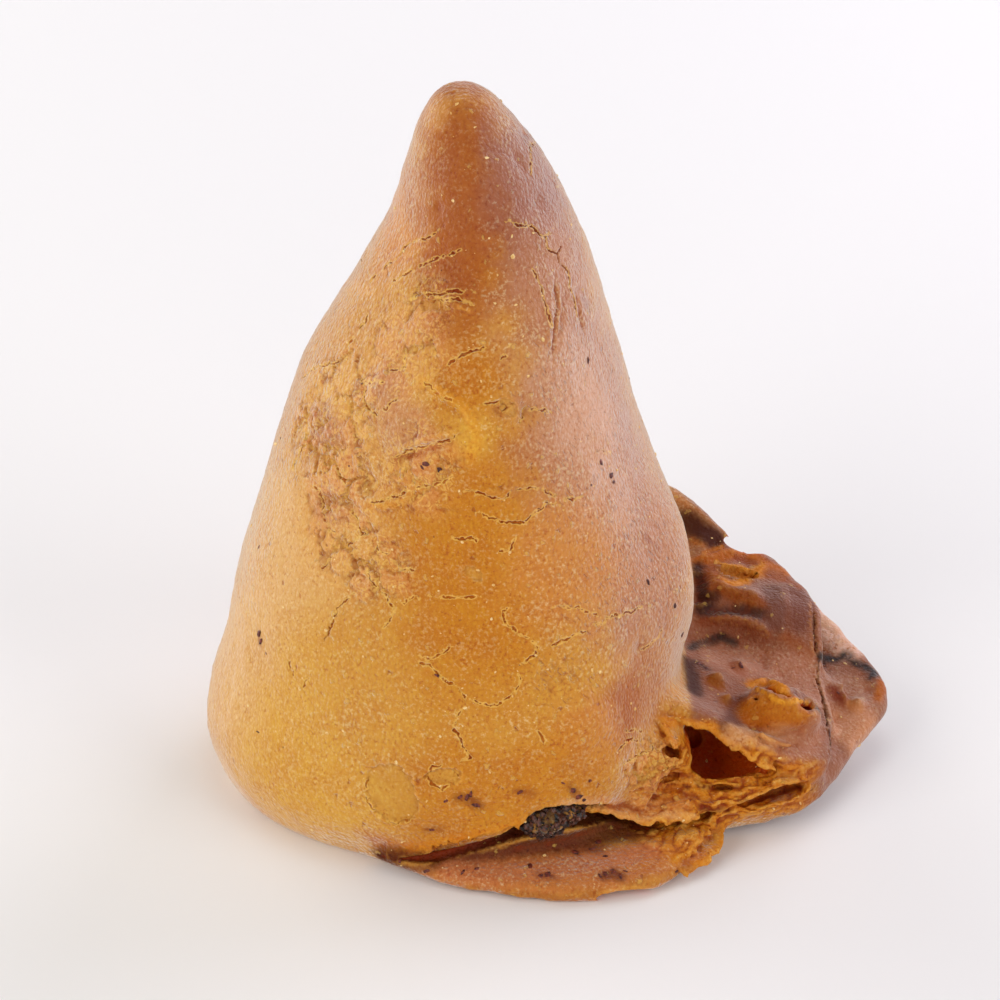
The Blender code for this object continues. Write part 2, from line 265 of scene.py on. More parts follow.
# Torn flakes that stand off the dough: thickness, depth of the tear, seed, and the two rails as
# column and row of the photo and how far the flake stands out there (mm)
FLAKES = (
    (0.4, 0.3, 21, ((657, 719, 0.1), (668, 716, 0.3), (682, 717, 0.3)), ((664, 731, 0.9),
     (675, 747, 1.2), (685, 736, 0.9))),
    (0.4, 0.3, 22, ((751, 754, 0), (760, 750, 0)), ((750, 739, 0.8), (757, 736, 0.9))),
    (0.4, 0.4, 23, ((790, 764, 0), (776, 758, 0.1), (762, 750, 0.2)), ((776, 771, 0.6),
     (765, 762, 0.9), (754, 752, 0.8))),
    (0.4, 0.4, 24, ((700, 780, 0), (722, 777, 0), (745, 779, 0)), ((700, 786, 0.5), (720, 782, 0.9),
     (738, 785, 0.6))),
    (0.45, 0.4, 25, ((694, 800, 0), (720, 800, 0), (742, 796, 0)), ((694, 797, 0.9), (715, 803, 1.1),
     (742, 797, 0.8))),
    (0.4, 0.3, 26, ((745, 692, 0), (760, 688, 0.1), (776, 694, 0.1)), ((752, 683, 0.7),
     (765, 681, 0.9), (782, 690, 0.6))),
    (0.35, 0.4, 27, ((716, 582, 0), (735, 588, 0), (752, 580, 0)), ((718, 576, 0.5), (734, 583, 0.6),
     (748, 577, 0.4))),
    (0.35, 0.4, 28, ((740, 562, 0), (752, 570, 0), (768, 562, 0)), ((742, 568, 0.6), (754, 573, 0.6),
     (764, 568, 0.4))),
    (0.9, 0.08, 30, ((388, 836, 0), (430, 833, 0), (470, 822, 0), (500, 808, 0), (522, 798, 0)),
     ((386, 852, 0.2), (430, 847, 0.5), (468, 838, 0.7), (508, 829, 0.8), (528, 822, 0.5))),
    (0.6, 0.15, 31, ((600, 805, 0), (625, 811, 0), (652, 815, 0), (682, 811, 0)), ((600, 808, 0.1),
     (622, 816, 0.2), (650, 821, 0.3), (692, 816, 0.3))),
    (0.4, 0.3, 29, ((660, 766, 0), (676, 760, 0), (690, 765, 0)), ((663, 771, 0.6), (676, 766, 0.8),
     (688, 772, 0.6))),
)


def torn_point(layer, u, v):
    """A place on a torn layer: u along the tear, v from the root (0) to the torn edge (1)."""
    thick, tear_depth, seed, root_rail, edge_rail = layer
    root = between(root_rail, u)
    out = between(edge_rail, u) - root
    edge = root + out
    tear = noise.noise(edge * TEAR_PITCH + Vector((seed, 0, 0)))
    fray = noise.noise(edge * FRAY_PITCH + Vector((0, seed, 0)))
    place = root + out * v
    place += out.normalized() * tear_depth * (tear * v**3 + FRAY * fray * v**6)
    place.z += FLUTTER * noise.noise(place * FLUTTER_PITCH + Vector((0, 0, seed))) * v
    return place


def torn_layer(layer):
    """The layer as a thin sheet of dough."""
    bm = bmesh.new()
    bmesh.ops.create_grid(bm, x_segments=LAYER_STEPS_ALONG, y_segments=LAYER_STEPS_OUT, size=0.5)
    for vert in bm.verts:
        vert.co = torn_point(layer, vert.co.x + 0.5, vert.co.y + 0.5)
    bmesh.ops.solidify(bm, geom=bm.faces[:], thickness=layer[0])
    return bm


def seen_at(column, row):
    """The place on the dough that the photo shows at this pixel or next to it, and the line of sight."""
    half = PICTURE_SIDE / 2
    across = (column - half) / PICTURE_SIDE * SENSOR / LENS
    up = (half - row) / PICTURE_SIDE * SENSOR / LENS
    sight = (camera_turn @ Vector((across, up, -1))).normalized()
    found, place, normal, face = crust.ray_cast(eye, sight)
    if not found:
        place = eye + sight * DISTANCE
        for turn in range(NEARING):
            place = crust.closest_point_on_mesh(place)[1]
            place = eye + sight * (place - eye).dot(sight)
        place = crust.closest_point_on_mesh(place)[1]
    return place, sight


def rim(pixel, wide, high, wall):
    """A raised, uneven ring of dough round a burst bubble."""
    bm = bmesh.new()
    side = bmesh.ops.create_circle(bm, segments=RIM_SIDES, radius=wall)["verts"]
    bmesh.ops.rotate(bm, verts=side, matrix=Matrix.Rotation(math.pi / 2, 3, "X"))
    bmesh.ops.translate(bm, verts=side, vec=(1, 0, 0))
    bmesh.ops.spin(
        bm, geom=bm.verts[:] + bm.edges[:], axis=(0, 0, 1), cent=(0, 0, 0), steps=RIM_SEGMENTS,
        angle=2 * math.pi, use_merge=True,
    )
    for vert in bm.verts:
        flat = Vector((vert.co.x, vert.co.y, 0))
        out = flat.normalized()
        shape = Vector((out.x * wide, out.y * high, vert.co.z)) + flat - out
        place, sight = seen_at(
            pixel[0] + shape.x * PIXELS_PER_MM, pixel[1] - shape.y * PIXELS_PER_MM
        )
        vert.co = place - sight * vert.co.z
        vert.co += RIM_WOBBLE * noise.noise_vector(vert.co / RIM_PITCH)
    return bm


def ball(centre, radii, turn=Matrix.Identity(4)):
    """An uneven round lump, as a hollow leaves."""
    bm = bmesh.new()
    bmesh.ops.create_icosphere(bm, subdivisions=BALL_SUBDIVISIONS, radius=1)
    for vert in bm.verts:
        vert.co = Vector(a * b for a, b in zip(vert.co, radii))
    bmesh.ops.transform(bm, verts=bm.verts, matrix=Matrix.Translation(centre) @ turn)
    for vert in bm.verts:
        vert.co += BALL_UNEVENNESS * noise.noise_vector(vert.co / BALL_PITCH) * min(radii)
    return bm


def joined(meshes, name):
    """All the bmeshes in one object, which is fused to one closed skin of fine, even faces."""
    whole = bmesh.new()
    for bm in meshes:
        mesh = bpy.data.meshes.new("part of " + name)
        bm.to_mesh(mesh)
        bm.free()
        whole.from_mesh(mesh)
        bpy.data.meshes.remove(mesh)
    piece = piece_from(whole, name)
    skin = piece.modifiers.new("skin", "REMESH")
    skin.mode = "VOXEL"
    skin.voxel_size = SKIN_VOXEL
    settle(piece)
    return piece


def settle(piece):
    """Applies the piece's modifiers to its mesh."""
    bpy.context.view_layer.update()
    graph = bpy.context.evaluated_depsgraph_get()
    mesh = bpy.data.meshes.new_from_object(piece.evaluated_get(graph))
    piece.modifiers.clear()
    piece.data = mesh


def mesh_of(piece):
    """The piece's mesh as a bmesh; the piece itself goes."""
    bm = bmesh.new()
    bm.from_mesh(piece.data)
    bpy.data.objects.remove(piece)
    return bm


dough = bmesh.new()
dough.from_mesh(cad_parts["samosa"].data)
bmesh.ops.remove_doubles(dough, verts=dough.verts, dist=WELD)
bmesh.ops.scale(dough, verts=dough.verts, vec=(TO_MM, TO_MM, TO_MM))
crust = joined([dough], "crust")

rims = [rim(*bubble) for bubble in BUBBLE_RIMS]
layers = list(TORN_LAYERS)
for thick, tear, seed, *rails in FLAKES:
    on_dough = []
    for rail in rails:
        seen = [(*seen_at(column, row), out) for column, row, out in rail]
        on_dough.append([place - sight * out for place, sight, out in seen])
    layers.append((thick, tear, seed, *on_dough))
hollows = []
pocket_places = []
for pixel, deep, radii, degrees in POCKETS:
    place, sight = seen_at(*pixel)
    pocket_places.append(place + sight * deep)
    turn = camera_turn.to_4x4() @ Matrix.Rotation(math.radians(degrees), 4, "Z")
    hollows.append(ball(pocket_places[-1], radii, turn))
for centre, radii, degrees in BURST:
    hollows.append(ball(centre, radii, Euler(map(math.radians, degrees)).to_matrix().to_4x4()))
for step in range(GAP_STEPS):
    row = between(GAP, step / (GAP_STEPS - 1))
    hollows.append(ball(row[:3], row[3:]))
hollow = joined(hollows, "hollow")
cut = crust.modifiers.new("cut", "BOOLEAN")
cut.operation = "DIFFERENCE"
cut.solver = "MANIFOLD"
cut.object = hollow
settle(crust)
bpy.data.objects.remove(hollow)

solids = [mesh_of(crust)] + rims
solids += [torn_layer(layer) for layer in layers]
solids += [ball(*lump) for lump in CLUMP]
crust = joined(solids, "crust")
soft = crust.modifiers.new("soft", "SMOOTH")
soft.factor = 0.5
soft.iterations = SKIN_SMOOTHING
settle(crust)


# Relief of the crust: the dough blistered, wrinkled and cracked as it fried. Each crack, wrinkle,
# lump and peeled patch that the photo shows stands at its place; the sides that do not show
# have cracks of their own by a seeded rule.
def array_of(collection, field):
    """One vector for each vertex or normal of a mesh."""
    values = np.empty(len(collection) * 3, np.float32)
    collection.foreach_get(field, values)
    return values.reshape(-1, 3)


def noise_field(pitch, seed):
    """Soft noise over the skin, from -1 to 1, that repeats about every pitch (mm)."""
    shift = Vector((seed, 2 * seed, 3 * seed))
    return np.array([noise.noise(Vector(place) / pitch + shift) for place in places.tolist()], np.float32)


def step_up(low, high, values):
    """0 up to low, 1 from high on, and a smooth rise between."""
    t = np.clip((values - low) / (high - low), 0, 1)
    return t * t * (3 - 2 * t)


def seen_line(pixels, seed, jag):
    """A jagged line over the dough through pixels of the photo."""
    draw = random.Random(seed)
    line = []
    for (x0, y0), (x1, y1) in zip(pixels, pixels[1:]):
        steps = max(1, round(math.dist((x0, y0), (x1, y1)) / LINE_STEP))
        for k in range(steps):
            t = k / steps
            line.append(seen_at(
                x0 + (x1 - x0) * t + draw.gauss(0, jag), y0 + (y1 - y0) * t + draw.gauss(0, jag)
            )[0])
    line.append(seen_at(*pixels[-1])[0])
    return np.array(line, np.float32)


def near_line(line, reach):
    """The vertices within reach of a line, how far off they are, and where along it (0 to 1)."""
    line = np.asarray(line, np.float32)
    low = line.min(0) - reach
    high = line.max(0) + reach
    close = np.flatnonzero(((places > low) & (places < high)).all(1))
    start = line[:-1]
    step = line[1:] - start
    length = np.maximum((step**2).sum(1), 1e-6)
    offset = bent_places[close, None] - start
    t = np.clip((offset * step).sum(2) / length, 0, 1)
    off = np.linalg.norm(offset - t[..., None] * step, axis=2)
    nearest = off.argmin(1)
    rows = np.arange(len(close))
    along = (nearest + t[rows, nearest]) / len(step)
    off = off[rows, nearest]
    keep = off < reach
    return close[keep], off[keep], along[keep]


def any_way(draw):
    return Vector((draw.gauss(0, 1), draw.gauss(0, 1), draw.gauss(0, 1)))


def wandering_line(start, draw):
    """A crack of the sides that do not show: it wanders over the dough from its start."""
    place = Vector(start)
    heading = any_way(draw)
    line = [place]
    for step in range(draw.randrange(5, 20)):
        heading = heading.normalized() + WANDER * any_way(draw)
        ahead = place + heading.normalized() * WANDER_STEP
        found, place, normal, face = crust.closest_point_on_mesh(ahead)
        heading -= normal * heading.dot(normal)
        line.append(place)
    return np.array(line, np.float32)


def away_from(column, row, radius, where):
    """How far off the place at this pixel every vertex lies, in radii."""
    return np.linalg.norm(where - np.array(seen_at(column, row)[0], np.float32), axis=1) / radius


# How many cracks the sides that do not show have, and how cracks wander, stray, bend and fade
HIDDEN_CRACKS = 46
WANDER = 0.5
WANDER_STEP = 0.75
LINE_STEP = 5.0
JAG = 0.9
CRACK_LIP = 0.22
CRACK_WIDTH = 0.5
CRACK_DEPTH = 0.4
CRACK_FADE = 0.16
CRACK_REACH = 0.62
CRACK_BEND = 0.22
CRACK_BEND_PITCH = 0.38

# Cracks: width and depth, which CRACK_WIDTH and CRACK_DEPTH turn into mm, and where they run in the
# photo (column, row)
CRACKS = (
    # left of the tip
    (0.24, 0.42, ((366, 288), (372, 280), (380, 270), (388, 264), (398, 258), (402, 249), (410, 243),
     (420, 238), (430, 237), (436, 233), (441, 226))),
    (0.2, 0.26, ((387, 292), (395, 282), (407, 274), (420, 266), (436, 258), (450, 254), (460, 250),
     (468, 245))),
    # right of the tip
    (0.22, 0.5, ((500, 221), (509, 222), (519, 226), (527, 226), (536, 232), (545, 237), (548, 246),
     (551, 252), (556, 254), (559, 259), (564, 268), (568, 277), (570, 285), (571, 292), (575, 302),
     (577, 312), (580, 322), (582, 334))),
    (0.2, 0.35, ((545, 237), (549, 234), (553, 231))),
    (0.2, 0.35, ((556, 254), (559, 250), (563, 246))),
    (0.2, 0.32, ((531, 270), (537, 281), (541, 290), (544, 300), (546, 312), (551, 330))),
    # over the ridge
    (0.22, 0.4, ((408, 305), (414, 297), (421, 291), (432, 295), (445, 294), (457, 291), (472, 291),
     (484, 293))),
    (0.2, 0.3, ((421, 309), (430, 302), (437, 299), (447, 300), (460, 300), (470, 304), (478, 308))),
    (0.26, 0.45, ((444, 367), (452, 361), (460, 358), (466, 352), (480, 349), (492, 344))),
    (0.2, 0.3, ((516, 333), (512, 345), (505, 355), (500, 362))),
    (0.2, 0.2, ((423, 382), (430, 387), (438, 391), (446, 397), (456, 403))),
    # edges of plates on the left
    (0.24, 0.4, ((385, 369), (392, 371), (398, 370), (404, 366), (405, 355), (403, 347))),
    (0.26, 0.45, ((360, 375), (362, 385), (364, 396), (366, 406), (372, 412), (379, 418))),
    (0.2, 0.3, ((362, 384), (375, 381), (387, 383))),
    (0.2, 0.28, ((380, 416), (388, 408), (395, 400), (400, 396))),
    (0.22, 0.35, ((298, 382), (308, 373), (320, 366), (333, 365), (342, 359), (351, 354))),
    (0.22, 0.35, ((351, 354), (348, 346), (352, 338), (362, 327), (370, 313))),
    (0.24, 0.3, ((293, 473), (297, 461), (303, 450), (307, 443))),
    (0.22, 0.35, ((302, 482), (312, 484), (320, 490), (322, 502), (323, 515), (329, 529), (336, 536))),
    (0.24, 0.45, ((349, 503), (354, 514), (357, 523), (362, 534), (350, 542), (342, 552))),
    (0.22, 0.35, ((335, 466), (341, 476), (346, 486))),
    (0.2, 0.3, ((320, 572), (328, 562), (336, 554))),
    (0.2, 0.3, ((374, 539), (376, 548), (380, 553), (391, 555))),
    (0.2, 0.28, ((395, 570), (405, 571), (416, 570))),
    # the torn ledge and the scarp
    (0.26, 0.5, ((364, 500), (378, 501), (390, 498), (402, 495), (411, 491))),
    (0.2, 0.25, ((411, 491), (422, 487), (436, 484), (446, 481), (456, 475))),
    (0.26, 0.6, ((387, 457), (400, 455), (412, 450), (425, 447), (440, 441), (452, 438), (463, 431))),
    (0.3, 0.55, ((479, 406), (490, 402), (500, 401), (505, 407), (503, 417))),
    (0.32, 0.6, ((519, 424), (525, 413), (529, 405))),
    (0.22, 0.35, ((529, 411), (537, 408), (545, 409), (554, 414))),
    # across the middle
    (0.22, 0.45, ((455, 491), (472, 490), (482, 494), (495, 498), (503, 500), (512, 491), (525, 487),
     (543, 488), (550, 493), (560, 498), (575, 499), (585, 494), (588, 484))),
    (0.2, 0.38, ((470, 509), (480, 512), (490, 517), (503, 521), (513, 523), (525, 520), (535, 513),
     (545, 505), (556, 504), (566, 508))),
    (0.2, 0.3, ((450, 534), (460, 538), (470, 538), (479, 542))),
    (0.2, 0.3, ((518, 535), (513, 545), (509, 553), (498, 549))),
    # low on the left
    (0.22, 0.35, ((365, 565), (370, 580), (385, 595), (394, 608), (391, 620), (380, 632))),
    (0.2, 0.26, ((394, 606), (415, 598), (440, 597), (475, 597), (490, 604))),
    (0.2, 0.3, ((360, 590), (345, 600), (338, 610), (333, 622), (327, 635))),
    (0.2, 0.26, ((415, 655), (430, 660), (445, 652), (455, 645))),
    # the fork and the loop
    (0.24, 0.45, ((456, 688), (466, 697), (466, 705), (456, 720), (452, 725), (460, 740), (466, 752),
     (472, 758), (455, 763))),
    (0.2, 0.35, ((466, 697), (480, 703), (497, 705), (507, 700), (515, 690), (520, 680), (518, 670))),
    (0.2, 0.32, ((510, 668), (525, 662), (532, 655), (538, 648), (530, 640), (515, 632), (505, 622),
     (502, 612), (512, 602))),
    (0.2, 0.3, ((535, 652), (550, 648), (565, 640), (590, 628), (612, 617), (635, 610), (652, 600))),
    (0.18, 0.22, ((545, 612), (555, 607), (575, 607), (590, 612), (605, 620))),
    (0.18, 0.22, ((592, 450), (612, 452))),
    (0.2, 0.25, ((537, 728), (545, 745))),
    # rims of the peeled patches
    (0.22, 0.4, ((376, 767), (368, 776), (365, 790), (368, 804), (378, 816), (392, 824), (406, 823),
     (416, 816))),
    (0.2, 0.32, ((447, 765), (434, 767), (427, 775), (430, 784), (440, 788), (450, 784), (457, 775),
     (450, 766))),
    # pits
    (0.32, 0.45, ((290, 658), (291, 668), (293, 679))),
    (0.32, 0.45, ((324, 643), (328, 632), (332, 622))),
    (0.2, 0.25, ((300, 690), (306, 680), (312, 676))),
    (0.2, 0.28, ((415, 662), (430, 664), (440, 676), (452, 684), (462, 693))),
    (0.2, 0.28, ((640, 650), (652, 640), (661, 628))),
    # the flap and the torn layers
    (0.34, 0.8, ((811, 598), (813, 615), (815, 640), (815, 660), (817, 680), (822, 700), (828, 730),
     (832, 762))),
    (0.24, 0.4, ((618, 752), (624, 744), (632, 739), (640, 738))),
    (0.26, 0.5, ((622, 767), (632, 760), (645, 752), (658, 744))),
    (0.22, 0.35, ((622, 729), (634, 731), (644, 730))),
)

# Soft wrinkles and ridges: half width and height (mm, below 0 for a furrow), and where they run
WRINKLES = (
    (0.5, -0.16, ((470, 250), (500, 248), (520, 250), (533, 257))),
    (0.4, -0.12, ((480, 255), (500, 254), (520, 256))),
    (0.3, -0.36, ((555, 272), (556, 290), (558, 303), (556, 320), (553, 350), (552, 363))),
    (0.4, -0.2, ((562, 285), (563, 305), (560, 330), (557, 352))),
    (0.3, -0.28, ((575, 290), (579, 310), (585, 335))),
    (0.6, 0.22, ((548, 300), (550, 325), (545, 345))),
    (0.5, 0.45, ((440, 305), (452, 303), (468, 308), (478, 313))),
    (0.6, 0.42, ((427, 380), (437, 386), (450, 397), (465, 410), (472, 430))),
    (0.45, 0.42, ((392, 449), (410, 445), (425, 439), (445, 433), (462, 428))),
    (0.5, -0.45, ((395, 460), (412, 455), (430, 449), (448, 443))),
    (0.5, 0.4, ((368, 505), (385, 506), (402, 500), (415, 495))),
    (0.45, 0.32, ((470, 486), (490, 491), (502, 494), (515, 484), (545, 483))),
    (0.6, -0.25, ((552, 660), (560, 672), (566, 688))),
    (0.6, -0.22, ((562, 655), (570, 668), (576, 684))),
    (0.6, -0.22, ((541, 668), (549, 682), (553, 696))),
    (0.7, 0.22, ((556, 656), (565, 672), (571, 690))),
    (0.5, -0.2, ((635, 755), (625, 765), (622, 778))),
    (1, -0.3, ((560, 760), (580, 778), (600, 790))),
    # the flap
    (1.6, -1, ((694, 640), (715, 638), (740, 641), (765, 650), (785, 655))),
    (0.9, 0.8, ((700, 620), (722, 618), (745, 621), (765, 632), (775, 640))),
    (1, -0.7, ((700, 608), (722, 610), (745, 611), (762, 614))),
    (1.4, -1, ((694, 570), (696, 586), (698, 606))),
    (0.8, 0.5, ((712, 566), (715, 584), (730, 592), (750, 596), (764, 606))),
    (0.6, 0.5, ((692, 560), (712, 557), (722, 553), (745, 552))),
    (0.35, 0.55, ((746, 699), (757, 690), (772, 698), (786, 705), (797, 701), (808, 702), (816, 712))),
    (0.4, 0.5, ((750, 686), (765, 680), (778, 687), (792, 694))),
    (0.22, -0.7, ((762, 688), (776, 693), (788, 700), (796, 704))),
    (0.5, -0.45, ((740, 716), (752, 728), (775, 732), (800, 732), (814, 720))),
    (1.2, 0.4, ((765, 628), (780, 600), (782, 580))),
    (0.9, -0.35, ((700, 600), (722, 598), (740, 606))),
    (0.7, -0.3, ((752, 640), (760, 655), (768, 672))),
    (0.5, 0.25, ((816, 640), (818, 670), (824, 700), (832, 730), (833, 765))),
    (0.8, -0.5, ((822, 650), (824, 680), (832, 705), (838, 735))),
)

# Lumps and dents: where (column, row), radius and height in mm (below 0 for a dent)
LUMPS = (
    (520, 163, 0.9, -0.3), (517, 157, 0.6, -0.2), (435, 212, 0.8, -0.25), (438, 207, 0.7, -0.2),
    (498, 196, 0.7, -0.2), (538, 200, 1.1, -0.2), (461, 104, 0.9, 0.15), (436, 116, 0.8, 0.15),
    (470, 128, 0.6, 0.15), (485, 158, 0.8, 0.16), (455, 318, 2.4, 0.35), (425, 306, 0.9, -0.3),
    (480, 305, 1.2, 0.2), (470, 378, 3, 0.55), (425, 420, 3.6, 0.4), (395, 430, 1.8, 0.2),
    (500, 409, 0.8, -0.55), (526, 412, 0.9, -0.6), (510, 408, 0.9, 0.25), (370, 480, 1.5, -0.45),
    (352, 470, 1.3, -0.35), (378, 447, 1, -0.3), (355, 515, 0.9, -0.5), (363, 390, 0.8, -0.4),
    (330, 420, 2.4, 0.35), (385, 390, 2.2, 0.3), (320, 470, 1.6, 0.2), (430, 468, 2.6, -0.35),
    (478, 450, 2.4, 0.25), (330, 505, 1.8, 0.2), (305, 400, 2, 0.2), (300, 510, 3, 0.15),
    (420, 520, 3, 0.25), (475, 570, 1, 0.2), (436, 777, 0.7, -0.1), (555, 745, 4, 0.25),
    (610, 700, 3.5, 0.25), (580, 696, 1.2, 0.3), (590, 712, 3.4, 0.8), (498, 91, 0.8, -0.3),
    (525, 134, 0.7, -0.25), (611, 313, 0.9, -0.4), (640, 648, 0.9, -0.4), (212, 672, 8, -0.55),
    (590, 478, 0.8, 0.15),
    # the flap and the wing
    (716, 681, 1, 1.2), (740, 667, 1.2, 0.8), (727, 701, 0.8, 0.9), (775, 712, 2.6, 0.7),
    (715, 594, 2.2, 0.5), (752, 600, 2.4, 0.45), (795, 590, 1.6, 0.45), (782, 676, 0.8, -0.3),
    (800, 645, 1.6, 0.35), (835, 690, 0.9, 1.3), (841, 701, 0.8, 1.2), (857, 706, 0.9, 1.2),
    (845, 660, 1.2, -0.3), (868, 690, 0.9, -0.4), (700, 540, 1.1, 0.4), (702, 552, 0.8, 0.35),
    (745, 558, 1.6, -0.55),
)

# Patches where the skin peeled off: from and to (column, row), half width and depth in mm
PEELED = (
    ((390, 788), (394, 802), 3, 0.26), ((435, 777), (452, 775), 1, 0.24),
    ((728, 571), (748, 576), 1, 0.8), ((505, 405), (512, 411), 0.7, 0.2),
    ((425, 306), (436, 305), 0.6, 0.22), ((470, 571), (478, 576), 0.6, 0.15),
)
PEEL_EDGE = 0.14
PEEL_UNEVENNESS = 0.45

# Skin that crackled into plates: middle of the zone (column, row), its radius, size of the plates,
# how deep the gaps between them are (mm)
CRACKLED = (
    (345, 400, 6, 3.4, 0.3), (335, 470, 6, 3.6, 0.3), (345, 530, 5, 3, 0.3),
    (405, 350, 5.5, 4.2, 0.22), (310, 430, 4.5, 3, 0.24), (430, 305, 3.4, 2, 0.24),
    (415, 470, 5.5, 4.2, 0.22), (650, 770, 4, 1.8, 0.3), (380, 565, 4.5, 3, 0.22),
)
PLATE_RISE = 0.34
PLATE_WARP = 0.9
PLATE_FRAY = 0.35
GRANULES = 0.16
# Where the skin is smooth: (column, row) and radius (mm)
SMOOTH = (
    (240, 690, 14), (325, 795, 6), (290, 600, 9), (265, 790, 8), (300, 520, 5), (560, 250, 3), (590, 420, 6),
)
# Where it has fine slanting nicks: (column, row) and radius (mm)
TICKED = ((600, 470, 10), (560, 380, 8), (645, 560, 8), (600, 600, 6), (565, 670, 5))
# The flap's side of this line through x (mm) at each height is its brown skin
FLAP_LINE = ((0, 30.0), (5, 27.0), (8, 26.8), (13, 28.0), (18, 28.6), (24, 28.0), (40, 26.0))
# Where the cone bulges out over the flap: (column, row), radius and height (mm)
BULGES = ((674, 592, 6.5, 1.5), (666, 525, 6, 1.6), (682, 612, 3.8, 0.8))
FLAKE_PITCH = (2.6, 2.6, 0.75)
FLAKE_HEIGHT = 0.45
# Height of the broad, middle, small and fine unevenness of the skin (mm)
UNEVEN = (0.22, 0.10, 0.05, 0.025)

FINE_REACH = 0.55
places = array_of(crust.data.vertices, "co")
bent_places = places
cracks = [(row[0], row[1], seen_line(row[2], seed, JAG)) for seed, row in enumerate(CRACKS)]
by_crack = np.zeros(len(places), bool)
for width, depth, line in cracks:
    by_crack[near_line(line, FINE_REACH)[0]] = True
dough = bmesh.new()
dough.from_mesh(crust.data)
cracked = [side for side in dough.edges if by_crack[side.verts[0].index] and by_crack[side.verts[1].index]]
bmesh.ops.subdivide_edges(dough, edges=cracked, cuts=1, use_grid_fill=True)
bmesh.ops.triangulate(dough, faces=[face for face in dough.faces if len(face.verts) > 4])
dough.to_mesh(crust.data)
dough.free()
crust.data.update()

places = array_of(crust.data.vertices, "co")
normals = array_of(crust.data.vertices, "normal")
lift = np.zeros(len(places), np.float32)
crack = np.zeros(len(places), np.float32)
bare = np.zeros(len(places), np.float32)
gaps = np.zeros(len(places), np.float32)
plates = np.zeros(len(places), np.float32)
bent_places = places + CRACK_BEND * np.array(
    [noise.noise_vector(Vector(place) / CRACK_BEND_PITCH) for place in places.tolist()], np.float32
)
unseen = step_up(-2.0, 6.0, places[:, 1])
behind = np.flatnonzero((unseen > 0.3) & (places[:, 2] > 3))
draw = random.Random(5)
for number in range(HIDDEN_CRACKS):
    start = places[behind[draw.randrange(len(behind))]]
    cracks.append((draw.uniform(0.24, 0.36), draw.uniform(0.25, 0.5), wandering_line(start, draw)))
broad = noise_field(9.0, 1)
middle = noise_field(3.2, 2)
small = noise_field(1.3, 3)
fine = noise_field(0.6, 4)
for share, field in zip(UNEVEN, (broad, middle, small, fine)):
    lift += share * field

for column, row, radius, height in LUMPS:
    off = away_from(column, row, radius, places)
    lift += height * np.exp(-(off**2) * (1 + 0.3 * small))

for seed, (width, height, pixels) in enumerate(WRINKLES):
    close, off, along = near_line(seen_line(pixels, seed, 0.3), 3 * width)
    taper = step_up(0, 0.25, along) * step_up(0, 0.25, 1 - along)
    lift[close] += height * taper * np.exp(-((off / width) ** 2))

for seed, (start, end, width, depth) in enumerate(PEELED):
    close, off, along = near_line(seen_line((start, end), seed, 0), width * 1.6)
    off = off + PEEL_UNEVENNESS * (0.6 * small[close] + 0.6 * fine[close])
    inside = step_up(width + PEEL_EDGE, width - PEEL_EDGE, off)
    rim_band = np.exp(-(((off - width - 0.15) / 0.18) ** 2))
    lift[close] += -depth * inside + 0.3 * depth * rim_band
    bare[close] = np.maximum(bare[close], inside)

for column, row, radius, pitch, depth in CRACKLED:
    off = away_from(column, row, radius, places)
    close = np.flatnonzero(off < 1.3)
    zone = step_up(1.3, 0.5, off[close] + 0.5 * middle[close])
    warp = PLATE_WARP * np.stack([small, middle, small - fine], 1)
    warped = (places + warp + PLATE_FRAY * fine[:, None])[close]
    apart = np.empty(len(close), np.float32)
    level = np.empty(len(close), np.float32)
    for k, place in enumerate(warped.tolist()):
        distances, points = noise.voronoi(Vector(place) / pitch)
        apart[k] = (distances[1] - distances[0]) * pitch
        level[k] = noise.noise(points[0] * 3.7)
    gap_half = 0.12 + 0.5 * np.maximum(small[close] + 0.6 * middle[close], 0)
    shown_edge = step_up(-0.25, 0.15, middle[close] + 0.5 * broad[close])
    between_plates = zone * shown_edge * step_up(gap_half + 0.30, gap_half, apart + 0.12 * fine[close])
    lift[close] += PLATE_RISE * level * zone * (1 - between_plates)
    lift[close] -= (depth - GRANULES * fine[close]) * between_plates
    gaps[close] = np.maximum(gaps[close], between_plates)
    plates[close] = np.maximum(plates[close], zone * (1 - between_plates) * step_up(-0.3, 0.1, level))

for width, depth, line in cracks:
    close, off, along = near_line(line, 1.2)
    taper = np.sqrt(step_up(0, CRACK_FADE, along) * step_up(0, CRACK_FADE, 1 - along))
    strength = np.clip(taper * (0.8 + 0.7 * fine[close] + 0.6 * small[close]), 0, 1.2)
    width = width * CRACK_WIDTH
    groove = np.exp(-((off / width) ** 2))
    lip = np.exp(-(((off - 2.6 * width) / (1.4 * width)) ** 2))
    lift[close] += strength * depth * CRACK_DEPTH * (CRACK_LIP * lip - groove)
    nearness = np.clip(strength, 0, 1) ** 0.5 * np.clip(1 - off / CRACK_REACH, 0, 1)
    crack[close] = np.maximum(crack[close], nearness)

# The cone bulges out over the flap
rest = places.copy()
line_x = np.interp(rest[:, 2], [z for z, x in FLAP_LINE], [x for z, x in FLAP_LINE])
flap_edge = 0.3 + 4.0 * step_up(2, 12, rest[:, 1])
past_line = rest[:, 0] - line_x + 2.0 * middle * (flap_edge > 1)
flap = step_up(-1, 1, past_line / flap_edge) * step_up(-20.0, -15.5, rest[:, 1] + 0.6 * small)
for column, row, radius, height in BULGES:
    off = away_from(column, row, radius, rest)
    lift += height * np.exp(-(off**2)) * (1 - flap)

